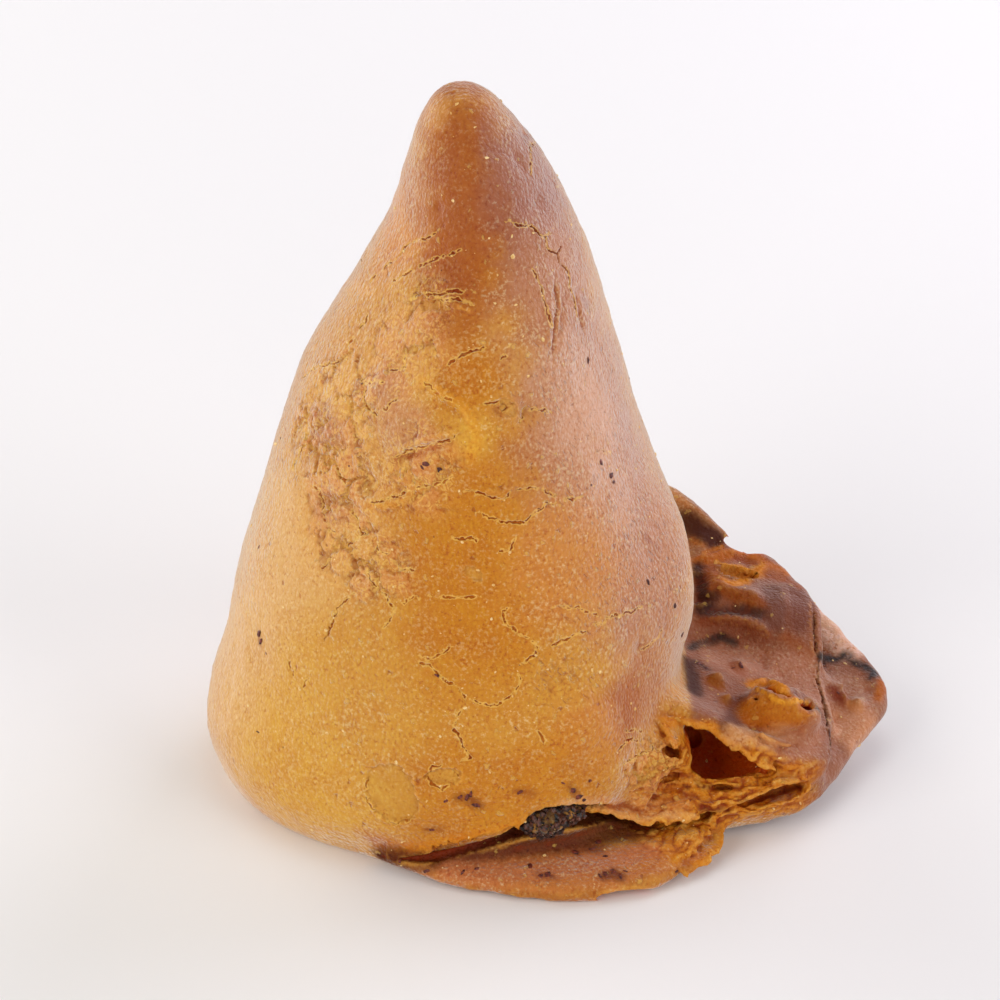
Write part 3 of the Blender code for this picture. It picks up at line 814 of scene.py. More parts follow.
# Torn, flaky dough of the seam: fine layers, one over the other
flaky = step_up(19.0, 24.5, rest[:, 0] + 0.8 * small) * step_up(-14.6, -17.0, rest[:, 1] + 0.8 * middle)
flaky *= step_up(2.0, 3.5, rest[:, 2]) * step_up(13.5, 11.5, rest[:, 2])
layered = rest / np.array(FLAKE_PITCH, np.float32)
flakes = np.zeros(len(places), np.float32)
for k in np.flatnonzero(flaky > 0.02):
    sway = 0.8 * noise.noise_vector(Vector(rest[k].tolist()) / 2)
    flakes[k] = abs(noise.noise(Vector(layered[k].tolist()) + sway))
lift += FLAKE_HEIGHT * flaky * (flakes - 0.2)

ground = step_up(0.3, 1.5, places[:, 2])
places += normals * (lift * ground)[:, None]
crust.data.vertices.foreach_set("co", places.ravel())
crust.data.update()
settle(crust)


# Colours of the crust. Fried dough is golden where it is thick, amber where it is thin or stands
# out, pale where the skin peeled, and dark on the flap that lay in the hot oil. Shade in the gap,
# creases and hollows, glow in the burst bubbles, and sheen and highlights are painted in as well.
def from_srgb(*levels):
    """A colour as picked on a screen (0 to 255), as the light the dough gives back."""
    return np.array([((v / 255 + 0.055) / 1.055) ** 2.4 for v in levels], np.float32)


GOLDEN = from_srgb(214, 158, 46)
YOLK = from_srgb(225, 176, 58)
AMBER = from_srgb(205, 138, 15)
BROWN = from_srgb(176, 97, 6)
HONEY = from_srgb(216, 148, 56)
TAN = from_srgb(230, 189, 120)
STRAW = from_srgb(230, 178, 86)
PALE_AND_HIGHLIGHT = from_srgb(214, 170, 82)
ROSE = from_srgb(192, 134, 100)
DUSK = from_srgb(160, 98, 76)
UMBER = from_srgb(142, 86, 66)
CHESTNUT = from_srgb(176, 116, 80)
LIP = from_srgb(196, 120, 48)
GAP_SHADE_COLOUR = from_srgb(60, 18, 4)
BLACK = from_srgb(26, 14, 12)
TORN = from_srgb(214, 140, 30)
INSIDE_GLOW = from_srgb(216, 96, 8)
PLATE = from_srgb(224, 156, 100)
CRACK_YELLOW = from_srgb(242, 198, 98)
SHEEN_BLUSH = from_srgb(218, 172, 144)

# Patches: where (column, row), radius (mm), colour, strength
PATCHES = (
    # the left side and the belly
    (225, 700, 13, TAN, 0.7), (235, 600, 14, TAN, 0.9), (285, 540, 12, TAN, 0.9),
    (262, 680, 11, TAN, 0.9), (330, 740, 14, YOLK, 0.9), (410, 700, 12, GOLDEN, 0.6),
    (300, 800, 9, YOLK, 0.9), (340, 340, 11, GOLDEN, 0.8), (405, 220, 7, HONEY, 0.9),
    (420, 190, 5, CHESTNUT, 0.4), (350, 430, 9, STRAW, 0.9), (345, 520, 8, STRAW, 0.8),
    (390, 380, 6, STRAW, 0.5),
    # the tip and the ridge
    (450, 98, 6, BROWN, 0.8), (455, 150, 6, BROWN, 0.7), (470, 215, 7, BROWN, 0.9),
    (456, 270, 6, BROWN, 0.9), (433, 112, 2.5, STRAW, 0.5), (462, 104, 2, STRAW, 0.5),
    (455, 320, 3.5, BROWN, 0.7), (468, 382, 4.5, AMBER, 0.9), (450, 540, 9, AMBER, 0.9),
    (480, 600, 9, AMBER, 0.9), (500, 480, 8, AMBER, 0.8), (470, 660, 8, AMBER, 0.6),
    (475, 435, 2.6, YOLK, 0.8), (400, 430, 4, ROSE, 0.6), (325, 425, 3, ROSE, 0.7),
    (385, 385, 2.5, ROSE, 0.7), (330, 505, 2.5, ROSE, 0.6), (410, 475, 3, HONEY, 0.7),
    # the right side: the dough's brown, with painted sheen in the pink of rose and dusk and a painted
    # highlight in blush
    (530, 180, 9, DUSK, 0.9), (555, 255, 9, DUSK, 0.7), (560, 300, 9, ROSE, 0.8),
    (590, 400, 13, ROSE, 0.9), (620, 490, 13, ROSE, 0.9), (645, 570, 10, ROSE, 0.8),
    (575, 560, 9, HONEY, 0.8), (655, 650, 8, ROSE, 0.5), (590, 425, 8, SHEEN_BLUSH, 0.8),
    (560, 370, 5, SHEEN_BLUSH, 0.5), (610, 490, 6, SHEEN_BLUSH, 0.4), (645, 695, 6, BROWN, 0.5),
    (620, 710, 5, BROWN, 0.85), (590, 738, 5, HONEY, 0.9), (560, 780, 7, AMBER, 0.8),
    (455, 800, 8, AMBER, 0.7), (440, 820, 7, AMBER, 0.6), (500, 800, 7, AMBER, 0.6),
)
# Strokes: colour, half width (mm), strength, and where they run in the photo
STROKES = (
    # the flap, from its top down
    # the lump behind the flap: painted highlight on its lit top rim, then painted shade on its face
    ((206, 146, 92), 0.6, 0.9, ((674, 492), (690, 507), (706, 519), (722, 531))),
    ((64, 20, 6), 1.7, 0.9, ((686, 521), (702, 530), (714, 539))),
    ((200, 126, 34), 0.4, 0.9, ((728, 531), (729, 540), (722, 547), (704, 553))),
    ((190, 124, 60), 0.4, 0.8, ((694, 541), (704, 546))),
    ((190, 108, 22), 0.8, 0.9, ((698, 562), (712, 558), (728, 553), (745, 552), (757, 557), (770, 565),
     (786, 572))),
    ((150, 74, 14), 0.5, 0.9, ((735, 557), (752, 563))),
    ((220, 154, 62), 0.9, 0.9, ((724, 571), (740, 574), (750, 577))),
    ((222, 156, 52), 0.25, 0.9, ((716, 562), (728, 565), (742, 566), (750, 571), (764, 565))),
    ((210, 140, 44), 0.25, 0.9, ((718, 574), (722, 584), (735, 586), (748, 582), (760, 572))),
    # painted shade of the cone on the flap beside it
    ((58, 18, 4), 1.1, 0.95, ((700, 568), (701, 586), (703, 606))),
    ((150, 78, 12), 1, 0.9, ((713, 570), (715, 586), (728, 592), (745, 598), (762, 606))),
    ((60, 30, 22), 0.9, 0.85, ((702, 611), (725, 613), (748, 612), (762, 614))),
    ((104, 54, 36), 1.4, 0.8, ((772, 590), (778, 605), (775, 622))),
    ((114, 60, 42), 1.6, 0.8, ((795, 585), (802, 604), (800, 622))),
    ((160, 86, 26), 0.9, 0.8, ((770, 574), (785, 580), (798, 585))),
    ((140, 74, 42), 0.7, 0.8, ((702, 621), (728, 620), (750, 625), (768, 636))),
    ((20, 12, 12), 0.65, 0.95, ((690, 648), (703, 645), (712, 642), (722, 637), (733, 644))),
    ((158, 90, 46), 0.9, 0.7, ((786, 638), (798, 646), (806, 656))),
    ((188, 136, 116), 2.6, 0.8, ((720, 658), (745, 662), (780, 668), (803, 674), (812, 695))),
    ((50, 14, 4), 1.1, 0.85, ((688, 662), (692, 676), (694, 692))),
    ((60, 30, 24), 0.5, 0.8, ((697, 662), (706, 668))),
    ((152, 86, 8), 0.9, 0.9, ((712, 679), (720, 686))),
    ((160, 98, 34), 0.6, 0.8, ((724, 698), (730, 704))),
    ((150, 80, 40), 0.9, 0.7, ((735, 664), (742, 670))),
    ((92, 38, 12), 1.2, 0.75, ((738, 700), (734, 716), (728, 726))),
    ((186, 112, 4), 1.9, 0.95, ((752, 708), (775, 708), (800, 714))),
    ((182, 104, 6), 0.9, 0.9, ((748, 720), (775, 724), (800, 726))),
    ((232, 168, 40), 0.3, 0.9, ((750, 692), (757, 690), (772, 698), (786, 704), (797, 700), (808, 704),
     (815, 714))),
    ((214, 164, 116), 1.4, 0.8, ((735, 733), (760, 736), (785, 738))),
    ((180, 122, 92), 2, 0.8, ((790, 745), (806, 742), (818, 725))),
    ((62, 22, 12), 0.16, 0.95, ((815, 618), (816, 645), (818, 675), (823, 700), (829, 730), (832, 760))),
    ((190, 128, 70), 0.16, 0.6, ((811, 602), (812, 630), (813, 655))),
    # painted shade in the flap's hollow by the cone, between the torn layers and in the small holes
    ((60, 20, 5), 0.8, 0.8, ((704, 598), (714, 597), (705, 606))),
    ((112, 36, 3), 0.35, 0.9, ((700, 787), (722, 789), (738, 787))),
    ((112, 36, 3), 0.45, 0.9, ((740, 801), (755, 802), (772, 796), (788, 790), (800, 787))),
    ((112, 36, 3), 0.4, 0.9, ((700, 807), (715, 811), (728, 809))),
    ((120, 40, 3), 0.3, 0.9, ((650, 782), (652, 791))),
    ((100, 32, 3), 0.3, 0.9, ((683, 787), (689, 787))),
    ((110, 36, 3), 0.5, 0.8, ((668, 748), (676, 752))),
    # the wing; first the pinkish white of its sheen, painted in on its upper part
    ((238, 200, 190), 1.8, 0.9, ((820, 612), (835, 630), (850, 648))),
    ((22, 20, 28), 0.6, 0.95, ((820, 656), (834, 661), (846, 655), (858, 664), (872, 670), (884, 678))),
    ((172, 126, 106), 2, 0.8, ((830, 680), (852, 688), (868, 700))),
    ((126, 52, 24), 0.8, 0.9, ((834, 691), (840, 702))),
    ((196, 132, 60), 0.7, 0.8, ((850, 705), (860, 709))),
    ((178, 98, 8), 0.7, 0.9, ((884, 684), (880, 698))),
    ((210, 154, 120), 2.6, 0.8, ((840, 725), (855, 735), (860, 722))),
    ((158, 104, 78), 1.6, 0.7, ((834, 750), (838, 768), (830, 780))),
    # the lip under the cone; first the painted shadow of the cone's overhang on it
    ((88, 32, 6), 1.6, 0.9, ((385, 857), (430, 859), (470, 852), (520, 845), (560, 841), (600, 835),
     (645, 829))),
    ((198, 122, 72), 1.4, 0.8, ((450, 873), (500, 872), (545, 870), (600, 862), (650, 850))),
    ((184, 120, 48), 0.7, 0.9, ((400, 869), (440, 885), (500, 894), (560, 899), (620, 892), (660, 880),
     (688, 868))),
    ((100, 36, 26), 0.7, 0.8, ((605, 876), (614, 873), (622, 877))),
    # the hem over the lip: its own pale torn edge, painted lighter still as painted light where it lies in
    # shade under the cone
    ((232, 178, 112), 0.6, 0.8, ((566, 803), (580, 800), (598, 806), (620, 815), (640, 820),
     (665, 814), (692, 816))),
    ((222, 154, 80), 0.8, 0.8, ((600, 802), (628, 806), (655, 806), (684, 803))),
    # low on the cone
    ((120, 48, 20), 0.6, 0.7, ((458, 797), (468, 799), (478, 806))),
    # the middle of the cone
    ((232, 172, 54), 0.7, 0.7, ((424, 380), (440, 392), (458, 402), (470, 412), (478, 436), (470, 456))),
    ((168, 84, 22), 0.35, 0.6, ((392, 462), (412, 454), (432, 448), (450, 441))),
    ((226, 170, 70), 0.5, 0.8, ((366, 507), (385, 506), (404, 502), (420, 498))),
    ((222, 160, 60), 0.9, 0.5, ((437, 463), (455, 455), (470, 462))),
    ((168, 124, 52), 0.8, 0.5, ((360, 472), (368, 488))),
    ((140, 66, 26), 0.6, 0.6, ((517, 791), (530, 795))), ((130, 56, 30), 0.5, 0.6, ((427, 830),
     (438, 829))),
    ((140, 66, 30), 0.3, 0.6, ((258, 632), (260, 642))), ((110, 46, 30), 0.5, 0.6, ((540, 874),
     (552, 877))),
    ((120, 50, 24), 0.45, 0.6, ((570, 787), (578, 797))), ((116, 52, 34), 0.5, 0.6, ((574, 852),
     (600, 850))),
    ((160, 88, 12), 1, 0.6, ((450, 268), (458, 285))),
    ((232, 182, 84), 0.9, 0.6, ((310, 372), (330, 380), (322, 398))),
    ((232, 178, 78), 0.6, 0.6, ((352, 285), (372, 292))),
    ((230, 180, 90), 0.7, 0.6, ((405, 300), (425, 312), (415, 325))),
    ((150, 112, 116), 0.5, 0.4, ((582, 298), (590, 310))),
    ((130, 44, 34), 0.35, 0.5, ((646, 538), (657, 546))),
)
GAP_SHADE_SHARE = 0.95
RAIL_STEPS = 60
# The fold that runs down from the tip: colour, half width (mm), strength. Its edge is ragged up
# to x = FOLD_RAGGED and sharp to the right of it
FOLD = (from_srgb(172, 96, 20), 1.7, 0.75)
FOLD_PIXELS = ((464, 112), (463, 130), (462, 170), (461, 215), (462, 250), (463, 286))
FOLD_EDGE = 0.35
FOLD_RAGGED = 1.3

# Colours of painted shade for creases, troughs and grooves, and of painted highlight for edges
CREASE_SHADE_COLOUR = from_srgb(146, 54, 3)
OILY = 0.9
OILY_BLUE = 0.32
EDGE_HIGHLIGHT_COLOUR = from_srgb(236, 180, 82)
CREASE = 0.10
CREASE_ROUNDS = 10

paint = np.tile(GOLDEN, (len(places), 1)).astype(float)


def colour_in(colour, share):
    """Paints every vertex by its share of the colour."""
    paint[:] += (colour - paint) * np.clip(share, 0, 1)[:, None]


wide = noise_field(14.0, 5)
colour_in(YOLK, 0.5 * unseen * step_up(-0.3, 0.7, broad))
colour_in(AMBER, 0.7 * unseen * step_up(-0.2, 0.7, -broad))
colour_in(TAN, 0.8 * unseen * step_up(-0.3, 0.5, wide))
colour_in(BROWN, 0.7 * unseen * step_up(55, 85, places[:, 2] + 10 * broad))
colour_in(ROSE, 0.55 * unseen * step_up(-0.4, 0.7, 0.4 * middle - wide))
# Amber and brown places are oily and have little of the pale bloom of the dry ones
oily = np.zeros(len(places), np.float32)
for column, row, radius, colour, strength in PATCHES:
    off = away_from(column, row, radius, places)
    share = strength * step_up(1.35, 0.45, off + 0.25 * middle + 0.12 * small)
    colour_in(colour, share)
    oily += (0.6 * (colour[2] < 0.02) - oily) * share

colour_in(UMBER, 0.95 * flap)
colour_in(LIP, 0.9 * step_up(6.5, 4.0, rest[:, 2]) * step_up(-24.0, -25.5, rest[:, 1]))


def within(centre, radii, reach):
    """Which places of the skin lie in a hollow of this centre and radii, and face it."""
    off = (rest - np.array(centre, np.float32)) / (np.array(radii, np.float32) + 0.15)
    far = np.linalg.norm(off, axis=1)
    return step_up(reach + 0.15, reach, far) * step_up(0.0, 0.4, -(off * normals).sum(1) / far)


# The walls inside the gap under the cone are painted dark: painted shade where the cone overhangs the lip.
inner = np.zeros(len(places), np.float32)
within_gap = np.zeros(len(places), np.float32)
for step in range(GAP_STEPS):
    row = between(GAP, step / (GAP_STEPS - 1))
    inner = np.maximum(inner, within(row[:3], row[3:], 1.0))
    off = (rest - np.array(row[:3], np.float32)) / np.array(row[3:], np.float32)
    within_gap = np.maximum(within_gap, step_up(0.99, 0.93, np.linalg.norm(off, axis=1)))
colour_in(GAP_SHADE_COLOUR, inner * GAP_SHADE_SHARE)
for centre, radii in CLUMP:
    off = (rest - np.array(centre, np.float32)) / np.array(radii, np.float32)
    burnt_share = step_up(1.35, 1.15, np.linalg.norm(off, axis=1)) * (inner < 0.5)
    colour_in(BLACK, 0.9 * burnt_share * step_up(-20.0, -23.5, rest[:, 1]) * within_gap)
# The walls inside the burst bubbles and small holes are painted their own orange-brown, brightened as a
# painted glow of light shining through the thin dough.
burst = np.zeros(len(places), np.float32)
for centre, radii, turns in BURST:
    burst = np.maximum(burst, within(centre, radii, 1.35))
for centre, row in zip(pocket_places, POCKETS):
    burst = np.maximum(burst, within(centre, [max(row[2])] * 3, 1.0))
colour_in(INSIDE_GLOW, burst)
torn = 0.8 * flaky
for layer in layers:
    rail = [torn_point(layer, k / RAIL_STEPS, 1) for k in range(RAIL_STEPS + 1)]
    close, off, along = near_line(rail, 1.5)
    torn[close] = np.maximum(torn[close], step_up(1.2, 0.4, off + 0.3 * fine[close]))
colour_in(TORN, torn)
# Painted shade in the troughs between the flakes of the seam, and painted highlight on their crests
colour_in(CREASE_SHADE_COLOUR, 0.75 * flaky * step_up(0.16, 0.02, flakes))
colour_in(PALE_AND_HIGHLIGHT, 0.6 * flaky * step_up(0.30, 0.6, flakes))
bent_places = places + 0.35 * np.stack([middle, small, fine], 1)
for colour, width, strength, pixels in STROKES:
    close, off, along = near_line(seen_line(pixels, 0, 0), 1.8 * width)
    share = np.zeros(len(places), np.float32)
    share[close] = strength * step_up(1.5, 0.5, off / width)
    colour_in(from_srgb(*colour), share)
    oily += (OILY * (colour[2] < OILY_BLUE * colour[0]) - oily) * share

colour, width, strength = FOLD
close, off, along = near_line(seen_line(FOLD_PIXELS, 0, 0), 2 * width)
share = np.zeros(len(places), np.float32)
off = off + 0.5 * (rest[close, 0] < FOLD_RAGGED) * small[close]
share[close] = strength * step_up(width + FOLD_EDGE, width - FOLD_EDGE, off)
colour_in(colour, share)
oily += (0.5 - oily) * share

# Painted shade in creases and painted highlight on edges: how far each place lies below or above its
# surroundings
sides = np.empty(len(crust.data.edges) * 2, np.int32)
crust.data.edges.foreach_get("vertices", sides)
sides = sides.reshape(-1, 2)
neighbours = np.bincount(sides.ravel(), minlength=len(places))
smooth = places.copy()
for turn in range(CREASE_ROUNDS):
    for axis in range(3):
        total = np.bincount(sides[:, 0], smooth[sides[:, 1], axis], len(places))
        total += np.bincount(sides[:, 1], smooth[sides[:, 0], axis], len(places))
        smooth[:, axis] = 0.5 * smooth[:, axis] + 0.5 * total / neighbours
crease = ((smooth - places) * array_of(crust.data.vertices, "normal")).sum(1) / CREASE
colour_in(CREASE_SHADE_COLOUR, 0.75 * step_up(0.1, 1.0, crease) * (1 - 0.6 * flap) * (1 - 0.8 * burst))
colour_in(EDGE_HIGHLIGHT_COLOUR, 0.6 * step_up(0.15, 1.2, -crease) * (1 - 0.7 * flap))
colour_in(PLATE, 0.45 * plates * (1 - unseen))
colour_in(CRACK_YELLOW, 0.6 * gaps)
# Painted shade on the walls of the grooves between the plates
colour_in(CREASE_SHADE_COLOUR, 1.8 * gaps * (1 - gaps) * (1 - unseen))
colour_in(PALE_AND_HIGHLIGHT, 0.5 * bare * (1 - flap))


def spots(rows, outer, inner, wobble):
    """1 within the round zones of these rows and 0 outside them, with an uneven edge."""
    zone = np.zeros(len(places), np.float32)
    for column, row, radius in rows:
        off = away_from(column, row, radius, rest) + wobble * middle
        zone = np.maximum(zone, step_up(outer, inner, off))
    return zone


def keep_on_crust(name, kind, field, values):
    """Keeps a value for each vertex on the crust, where its material reads it."""
    kept = crust.data.attributes.new(name, kind, "POINT")
    kept.data.foreach_set(field, np.asarray(values, np.float32).ravel())


rough = spots([row[:3] for row in CRACKLED], 1.3, 0.7, 0.3)
rough = np.maximum(rough, unseen * step_up(0.1, 0.5, middle) * (1 - flap))
rough = np.maximum(rough, bare * (1 - flap))
soft = spots(SMOOTH, 1.2, 0.5, 0.2)
ticks = spots(TICKED, 1.2, 0.6, 0.3)
bloom = (1 - 0.35 * soft) * (1 - 0.6 * flap) * (1 - oily)
bloom *= 1 - np.clip(torn + burst + inner + 0.6 * bare, 0, 1)
bloom *= 1 - 0.8 * step_up(0.3, 1.2, crease)
keep_on_crust("paint", "FLOAT_COLOR", "color", np.hstack([paint, ticks[:, None]]))
keep_on_crust("marks", "FLOAT_COLOR", "color", np.stack([crack, rough, bloom, np.ones(len(paint))], 1))
keep_on_crust("grain", "FLOAT", "value", (1 - 0.7 * bare) * (1 - 0.6 * flap) * (1 - 0.65 * soft))

CRUST_TRIANGLES = 195000
THIN_STEPS = 4
THIN_CARE = 0.0006
thin = crust.modifiers.new("thin", "DECIMATE")
thin.ratio = CRUST_TRIANGLES / (2 * len(crust.data.polygons))
facing = array_of(crust.data.vertices, "normal") @ np.array(camera_turn.col[2], np.float32)
shown = step_up(-0.2, 0.2, facing) * (1 - unseen) + 2.0 * np.maximum(flaky, 0.5 * flap)
group = crust.vertex_groups.new(name="thin")
levels = np.clip(np.round(shown * THIN_STEPS), 0, 3 * THIN_STEPS).astype(int)
for level in np.unique(levels):
    group.add(np.flatnonzero(levels == level).tolist(), 1 - float(level) / THIN_STEPS * THIN_CARE, "REPLACE")
thin.vertex_group = group.name
thin.vertex_group_factor = 1.0
settle(crust)
box = np.clip(array_of(crust.data.vertices, "co"), np.array(cad_low) / MM, np.array(cad_high) / MM)
crust.data.vertices.foreach_set("co", box.astype(np.float32).ravel())
crust.data.update()

crust.data.transform(Matrix.Scale(MM, 4))
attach(crust, "root")
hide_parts("samosa")
crust.data.shade_smooth()


# The crust's surface: dry dough with fine pebbles, pores, clinging crumbs and frayed cracks, and a
# pale bloom where it isn't oily, which is the shader's sheen with painted glints of it in the colour;
# the crevices between the pebbles carry painted shade. The colours, cracks and rough zones come
# from the vertices.
MIX_A, MIX_B, MIX_RESULT = 6, 7, 2


class Wire:
    """A number that varies over a surface: sums on it add Math nodes to the material."""

    def __init__(self, shader, socket):
        self.shader = shader
        self.socket = socket

    def maths(self, operation, first, second):
        return self.shader.node("ShaderNodeMath", {"operation": operation}, {0: first, 1: second})

    def __add__(self, other):
        return self.maths("ADD", self, other)

    def __sub__(self, other):
        return self.maths("SUBTRACT", self, other)

    def __rsub__(self, other):
        return self.maths("SUBTRACT", other, self)

    def __mul__(self, other):
        return self.maths("MULTIPLY", self, other)

    __radd__ = __add__
    __rmul__ = __mul__


class Shader:
    """A material under construction, with its Principled shader."""

    def __init__(self, name):
        self.material = bpy.data.materials.new(name)
        self.material.use_nodes = True
        self.tree = self.material.node_tree
        self.surface = self.tree.nodes["Principled BSDF"]

    def node(self, kind, settings, sockets, output=0):
        """A node of this kind; settings come first, then the values or links of its sockets."""
        node = self.tree.nodes.new(kind)
        for name, value in settings.items():
            setattr(node, name, value)
        self.feed(node, sockets)
        return Wire(self, node.outputs[output])

    def feed(self, node, sockets):
        for name, value in sockets.items():
            if isinstance(value, Wire):
                self.tree.links.new(value.socket, node.inputs[name])
            else:
                node.inputs[name].default_value = value

    def mix(self, share, colour, other, blend="MIX"):
        """One colour turned into another by its share."""
        settings = {"data_type": "RGBA", "blend_type": blend}
        return self.node("ShaderNodeMix", settings, {0: share, MIX_A: colour, MIX_B: other}, MIX_RESULT)

    def stain(self, share, colour, tint):
        """A colour multiplied by a tint, by its share."""
        return self.mix(share, colour, self.mix(1.0, colour, (*tint, 1), "MULTIPLY"))

    def cloud(self, where, pitch, detail, roughness=0.5, output="Fac"):
        """Noise that repeats about every pitch (m)."""
        sockets = {"Vector": where, "Scale": 1 / pitch, "Detail": detail, "Roughness": roughness}
        return self.node("ShaderNodeTexNoise", {}, sockets, output)

    def cells(self, where, pitch, feature, output, **more):
        """Cells about one pitch (m) across."""
        sockets = {"Vector": where, "Scale": 1 / pitch, **more}
        return self.node("ShaderNodeTexVoronoi", {"feature": feature}, sockets, output)

    def bend(self, where, other, far):
        """Places moved by a colour of noise, as far as it goes."""
        settings = {"operation": "MULTIPLY_ADD"}
        return self.node("ShaderNodeVectorMath", settings, {0: other, 1: (far, far, far), 2: where})

    def bump(self, height):
        """The normal of a skin with this height (m)."""
        return self.node("ShaderNodeBump", {}, {"Strength": 1.0, "Distance": 1.0, "Height": height})

    def kept(self, name, output):
        """What the vertices keep under this name."""
        return self.node("ShaderNodeAttribute", {"attribute_name": name}, {}, output)

    def ramp(self, value, stops):
        """Numbers from 0 to 1 turned into others, between stops of (place, level)."""
        node = self.tree.nodes.new("ShaderNodeValToRGB")
        elements = node.color_ramp.elements
        for element, (place, level) in zip(elements, (stops[0], stops[-1])):
            element.position = place
            element.color = (level, level, level, 1)
        for place, level in stops[1:-1]:
            elements.new(place).color = (level, level, level, 1)
        self.feed(node, {0: value})
        return Wire(self, node.outputs[0])


# How wide the marks of the surface are (m), from pebbles to clinging crumbs
PEBBLE = 0.00042
PEBBLE_STRETCH = (1.0, 1.0, 0.62)
FLECK = 0.00040
SPECK = 0.0012
BLOTCH = 0.0045
NET = 0.0013
DUST = 0.00025
BEND = 0.0004
BEND_PITCH = 0.0015
TORN_BEND = 0.0011
TORN_BEND_PITCH = 0.0007
NICK = 0.00028
NICK_STRETCH = 6.0
CRUMB_PITCH = 0.0016
SHINE = 0.3
SHEEN = 1.0
SHEEN_ROUGHNESS = 0.4
DRY_SHINE = 0.15

skin = Shader("fried crust")
spot = skin.node("ShaderNodeTexCoord", {}, {}, "Object")
paint_wire = skin.kept("paint", "Color")
ticks_wire = skin.kept("paint", "Alpha")
grain_wire = skin.kept("grain", "Fac")
marks_wire = skin.kept("marks", "Color")
crack_wire, rough_wire, bloom_wire = (
    skin.node("ShaderNodeSeparateColor", {}, {"Color": marks_wire}, channel) for channel in range(3)
)
flat = skin.node("ShaderNodeMapping", {}, {"Vector": spot, "Scale": PEBBLE_STRETCH})
bent = skin.bend(flat, skin.cloud(spot, BEND_PITCH, 1.0, output="Color"), BEND)
torn_bent = skin.bend(spot, skin.cloud(spot, TORN_BEND_PITCH, 3.0, output="Color"), TORN_BEND)
pebbles = skin.cells(bent, PEBBLE, "SMOOTH_F1", "Distance", Smoothness=0.35)
net = skin.cells(torn_bent, NET, "DISTANCE_TO_EDGE", "Distance")
blotch = skin.cloud(spot, BLOTCH, 4.0, 0.6)
speck = skin.cloud(spot, SPECK, 5.0, 0.65)
fleck = skin.cloud(spot, FLECK, 2.0, 0.6)
dust = skin.cloud(spot, DUST, 2.0)

# Darker between the pebbles, which is painted shade in their crevices, and where speck and blotch noise run
# high, which is tone at random
shade = skin.ramp(pebbles * 0.55 + speck * 0.35 + blotch * 0.35, ((0.30, 1.0), (0.64, 0.10)))
shade_and_mottle_colour = skin.mix(0.75, paint_wire, (0.87, 0.67, 0.46, 1), "MULTIPLY")
coloured = skin.mix(1 - shade, paint_wire, shade_and_mottle_colour)
pores = skin.ramp(fleck * 0.6 + speck * 0.4, ((0.36, 1.0), (0.43, 0.0)))
coloured = skin.stain(pores * 0.7, coloured, (0.74, 0.44, 0.12))
mottle = skin.ramp(fleck * 0.75 + speck * 0.25, ((0.42, 1.0), (0.54, 0.0))) * grain_wire
coloured = skin.stain(mottle * 0.5, coloured, (0.89, 0.75, 0.50))
# Pale flecks screened over the colour, most where the dough has its sheen: painted glints of the sheen
lights = skin.ramp(fleck * 0.7 + blotch * 0.3, ((0.54, 0.0), (0.66, 1.0)))
glint_colour = skin.mix(1.0, coloured, (0.46, 0.44, 0.28, 1), "SCREEN")
paint_light = skin.node("ShaderNodeRGBToBW", {}, {"Color": paint_wire})
lights = lights * skin.ramp(paint_light, ((0.04, 0.0), (0.25, 1.0)))
coloured = skin.mix(lights * (0.12 + bloom_wire * 0.5), coloured, glint_colour)
ambers = skin.ramp(blotch * 0.55 + speck * 0.45, ((0.50, 0.0), (0.60, 1.0)))
coloured = skin.stain(ambers * 0.55, coloured, (0.88, 0.72, 0.45))
slant = skin.node(
    "ShaderNodeMapping", {"vector_type": "TEXTURE"},
    {"Vector": spot, "Rotation": (0, math.radians(45), 0), "Scale": (NICK_STRETCH, 1, 1)},
)
nicks = skin.ramp(skin.cloud(slant, NICK, 1.0), ((0.62, 0.0), (0.68, 1.0)))
nicks = nicks * ticks_wire * skin.ramp(speck, ((0.46, 0.0), (0.54, 1.0)))
coloured = skin.stain(nicks * 0.7, coloured, (0.70, 0.45, 0.22))
crumb = skin.cells(torn_bent, CRUMB_PITCH, "F1", "Distance")
which = skin.cells(torn_bent, CRUMB_PITCH, "F1", "Color")
which = skin.node("ShaderNodeSeparateColor", {}, {"Color": which}, 0)
crumbly = skin.ramp(crumb + (fleck - 0.5) * 0.5, ((0.12, 1.0), (0.20, 0.0)))
pale_spots = crumbly * skin.ramp(which, ((0.66, 0.0), (0.68, 1.0)))
pale_spots = pale_spots * skin.ramp(grain_wire, ((0.25, 0.2), (0.5, 1.0)))
dark_spots = crumbly * skin.ramp(which, ((0.10, 1.0), (0.12, 0.0)))
coloured = skin.mix(pale_spots * 0.4, coloured, (*CRACK_YELLOW.tolist(), 1))
coloured = skin.stain(dark_spots * 0.6, coloured, (0.60, 0.34, 0.14))
fray = crack_wire + (speck - 0.5) * 0.5 + (fleck - 0.5) * 0.35
crack_edge = skin.ramp(fray, ((0.50, 0.0), (0.62, 1.0), (0.70, 1.0), (0.76, 0.0)))
crack_core = skin.ramp(fray, ((0.74, 0.0), (0.84, 1.0)))
net_on = rough_wire * skin.ramp(speck, ((0.44, 0.0), (0.56, 1.0)))
net_line = skin.ramp(net, ((0.02, 1.0), (0.05, 0.0))) * net_on * pores
net_edge = skin.ramp(net, ((0.06, 0.0), (0.10, 1.0), (0.18, 1.0), (0.26, 0.0))) * net_on
on_cone = skin.ramp(grain_wire, ((0.42, 0.1), (0.75, 1.0)))
coloured = skin.mix((crack_edge * 0.5 + net_edge * 0.45) * on_cone, coloured, (*CRACK_YELLOW.tolist(), 1))
coloured = skin.stain(crack_core * 0.8 + net_line * 0.7, coloured, (0.66, 0.36, 0.10))
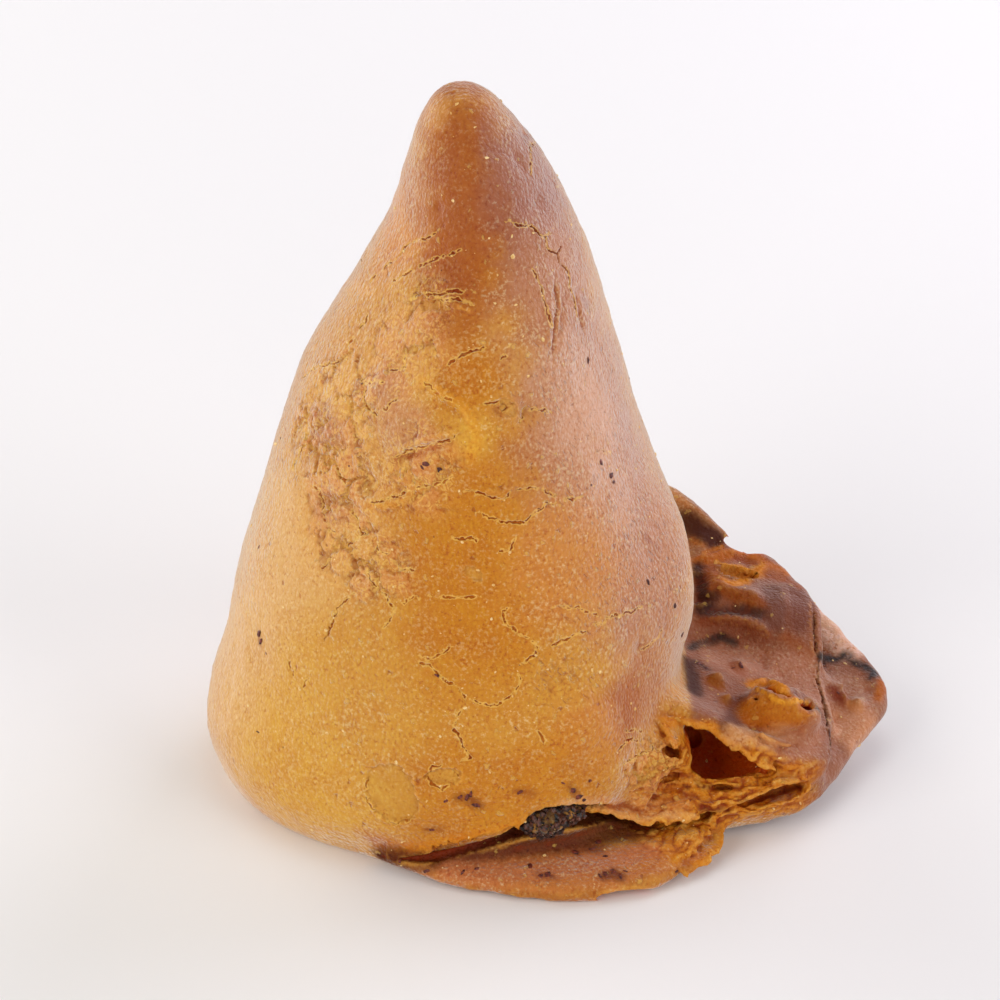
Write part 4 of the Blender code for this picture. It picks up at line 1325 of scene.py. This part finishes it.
height = (1 - pebbles) * grain_wire * 0.00013 + dust * 0.00004 + speck * 0.00026 + fleck * 0.00016
height = height + pale_spots * 0.00010 - (crack_core + net_line + nicks + dark_spots) * 0.00008
roughness = 0.40 + speck * 0.12 + pebbles * 0.15
look = {"Base Color": coloured, "Roughness": roughness, "Normal": skin.bump(height)}
dry = skin.node("ShaderNodeBsdfPrincipled", {}, {**look, "Specular IOR Level": DRY_SHINE})
skin.feed(skin.surface, {
    **look, "Specular IOR Level": SHINE, "Sheen Weight": SHEEN, "Sheen Roughness": SHEEN_ROUGHNESS,
})
dry_bloom = bloom_wire * (1 - crack_core) * (1 - net_line)
both = skin.node("ShaderNodeMixShader", {}, {0: dry_bloom, 1: dry, 2: Wire(skin, skin.surface.outputs[0])})
skin.feed(skin.tree.nodes["Material Output"], {"Surface": both})
crust.data.materials.append(skin.material)


# A nest of burnt crumbs sits in the gap under the cone: hard, dark, uneven grains of char and
# dough, scattered by a seeded rule over the front of the lump and half sunk in it.
GRAIN_COUNT = 420
GRAIN_SIZE = (0.14, 0.62)
GRAIN_SINK = (-0.2, 0.3)
FIRST_LUMP_SHARE = 0.6
UNEVENNESS = 0.75
UNEVEN_PITCH = 0.6


def add_grain(bm, place, normal, radii, draw):
    """One uneven grain of 80 faces that lies on the dough; its third radius is its height."""
    made = bmesh.ops.create_icosphere(bm, subdivisions=1, radius=1)["verts"]
    spin = Matrix.Rotation(draw.uniform(0, math.tau), 3, "Z")
    turn = Vector(normal).to_track_quat("Z", "Y").to_matrix() @ spin
    shift = Vector((draw.uniform(0, 99), 0, 0))
    for vert in made:
        bumpy = 1 + UNEVENNESS * noise.noise(vert.co / UNEVEN_PITCH + shift)
        shape = Vector(a * b for a, b in zip(vert.co, radii)) * bumpy
        vert.co = (Vector(place) + turn @ shape) * MM


def grain_material(name, colours, roughness, pitch):
    """Two colours mixed by noise, with a rough skin."""
    shader = Shader(name)
    where = shader.node("ShaderNodeTexCoord", {}, {}, "Object")
    cloud = shader.cloud(where, pitch, 3.0)
    share = shader.ramp(cloud, ((0.40, 0.0), (0.60, 1.0)))
    first, second = ((*from_srgb(*colour).tolist(), 1) for colour in colours)
    shader.feed(shader.surface, {
        "Base Color": shader.mix(share, first, second), "Roughness": roughness - 0.2 * share,
        "Normal": shader.bump(cloud * pitch * 0.4),
    })
    return shader.material


draw = random.Random(11)
burnt = bmesh.new()
for number in range(GRAIN_COUNT):
    centre, radii = CLUMP[0] if draw.random() < FIRST_LUMP_SHARE else CLUMP[1]
    out = Vector((draw.gauss(0, 1), -abs(draw.gauss(0, 1)), draw.gauss(0.0, 1))).normalized()
    place = Vector(c + r * o for c, r, o in zip(centre, radii, out))
    found, place, normal, face = crust.closest_point_on_mesh(place * MM)
    size = GRAIN_SIZE[0] + (GRAIN_SIZE[1] - GRAIN_SIZE[0]) * draw.random() ** 3
    place = place / MM + normal * draw.uniform(*GRAIN_SINK)
    add_grain(burnt, place, normal, (size, size * 0.8, size * draw.uniform(0.6, 1.0)), draw)
burnt_crumbs = piece_from(burnt, "burnt_crumbs")
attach(burnt_crumbs, "root")
burnt_crumbs.data.materials.append(grain_material("burnt crumbs", ((19, 7, 4), (92, 50, 34)), 0.5, 0.0005))


# Pale crumbs of dry dough cling all over the crust, half sunk in it. The larger ones that the
# photo shows lie at their places, and the others are scattered by a seeded rule.
CRUMB_COUNT = 900
CRUMB_SIZE = 0.10
CRUMB_SPREAD = 0.5
CRUMB_LARGEST = 0.32
# Larger crumbs that the photo shows: where (column, row) and size (mm)
CRUMBS_SEEN = (
    (457, 104, 0.26), (432, 112, 0.2), (451, 113, 0.2), (475, 127, 0.2), (487, 158, 0.26),
    (453, 201, 0.22), (512, 236, 0.26), (570, 239, 0.2), (495, 303, 0.26), (516, 305, 0.2),
    (225, 700, 0.22), (215, 727, 0.22), (343, 731, 0.2), (348, 747, 0.22), (478, 570, 0.24),
    (374, 771, 0.18), (396, 762, 0.22), (427, 801, 0.2), (373, 836, 0.22), (481, 381, 0.2),
    (601, 803, 0.36), (738, 637, 0.2), (745, 588, 0.18), (440, 786, 0.2), (418, 799, 0.2),
    (276, 444, 0.4), (592, 670, 0.3), (600, 672, 0.24), (326, 371, 0.25), (305, 420, 0.25),
    (300, 430, 0.22),
)


def on_crust(column, row):
    """The place on the finished crust, in mm, that the photo shows at this pixel, and its normal."""
    sight = seen_at(column, row)[1]
    found, place, normal, face = crust.ray_cast(eye * MM, sight)
    return place / MM, normal


draw = random.Random(12)
crumbs = bmesh.new()
above_low = (rest > np.array(cad_low) / MM + 1).all(1)
standing = np.flatnonzero(above_low & (rest < np.array(cad_high) / MM - 1).all(1))
for column, row, size in CRUMBS_SEEN:
    place, normal = on_crust(column, row)
    add_grain(crumbs, place, normal, (size, size * draw.uniform(0.5, 0.9), size * 0.5), draw)
for number in range(CRUMB_COUNT):
    k = standing[draw.randrange(len(standing))]
    size = min(CRUMB_SIZE * math.exp(draw.gauss(0, CRUMB_SPREAD)), CRUMB_LARGEST)
    add_grain(crumbs, places[k], normals[k], (size, size * draw.uniform(0.5, 0.9), size * 0.6), draw)
pale_crumbs = piece_from(crumbs, "pale_crumbs")
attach(pale_crumbs, "root")
dry_dough = grain_material("dry dough", ((222, 176, 100), (244, 216, 156)), 0.8, 0.0004)
pale_crumbs.data.materials.append(dry_dough)


# Burnt specks: flat dark bits of char that stuck to the crust as it fried. Those that the photo
# shows lie at their places, and the smaller others are scattered by a seeded rule.
SPECK_COUNT = 60
SPECK_SWELL = 1.5
SPECK_SIZE = (0.06, 0.2)
# Specks that the photo shows: where (column, row) and size (mm)
SPECKS_SEEN = (
    (259, 547, 0.22), (259, 634, 0.42), (261, 642, 0.34), (258, 732, 0.22), (437, 676, 0.25),
    (426, 464, 0.32), (422, 467, 0.2), (440, 470, 0.3), (601, 462, 0.28), (611, 476, 0.35),
    (614, 482, 0.25), (648, 582, 0.32), (675, 606, 0.25), (682, 635, 0.28), (588, 360, 0.3),
    (467, 797, 0.42), (476, 805, 0.4), (460, 797, 0.28), (471, 794, 0.35), (446, 801, 0.22),
    (573, 790, 0.3), (579, 797, 0.38), (584, 800, 0.25), (563, 783, 0.2), (590, 781, 0.2),
    (575, 852, 0.36), (592, 849, 0.3), (530, 866, 0.34), (548, 874, 0.36), (541, 876, 0.28),
    (463, 872, 0.3), (427, 871, 0.32), (477, 869, 0.22), (605, 874, 0.36), (614, 872, 0.34),
    (620, 876, 0.28), (677, 871, 0.28), (598, 842, 0.3), (605, 856, 0.25), (400, 861, 0.22),
    (733, 668, 0.24), (700, 664, 0.26), (706, 668, 0.25), (741, 665, 0.32), (838, 693, 0.2),
    (520, 792, 0.3), (432, 830, 0.26), (612, 870, 0.26), (600, 876, 0.26), (625, 871, 0.24),
)
draw = random.Random(13)
chars = bmesh.new()
for column, row, size in SPECKS_SEEN:
    place, normal = on_crust(column, row)
    size *= SPECK_SWELL
    add_grain(chars, place, normal, (size, size * draw.uniform(0.35, 0.8), size * 0.35), draw)
for number in range(SPECK_COUNT):
    k = standing[draw.randrange(len(standing))]
    size = draw.uniform(*SPECK_SIZE)
    add_grain(chars, places[k], normals[k], (size, size * draw.uniform(0.35, 0.8), size * 0.3), draw)
burnt_specks = piece_from(chars, "burnt_specks")
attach(burnt_specks, "root")
burnt_specks.data.materials.append(grain_material("char", ((60, 16, 10), (120, 44, 24)), 0.6, 0.0004))
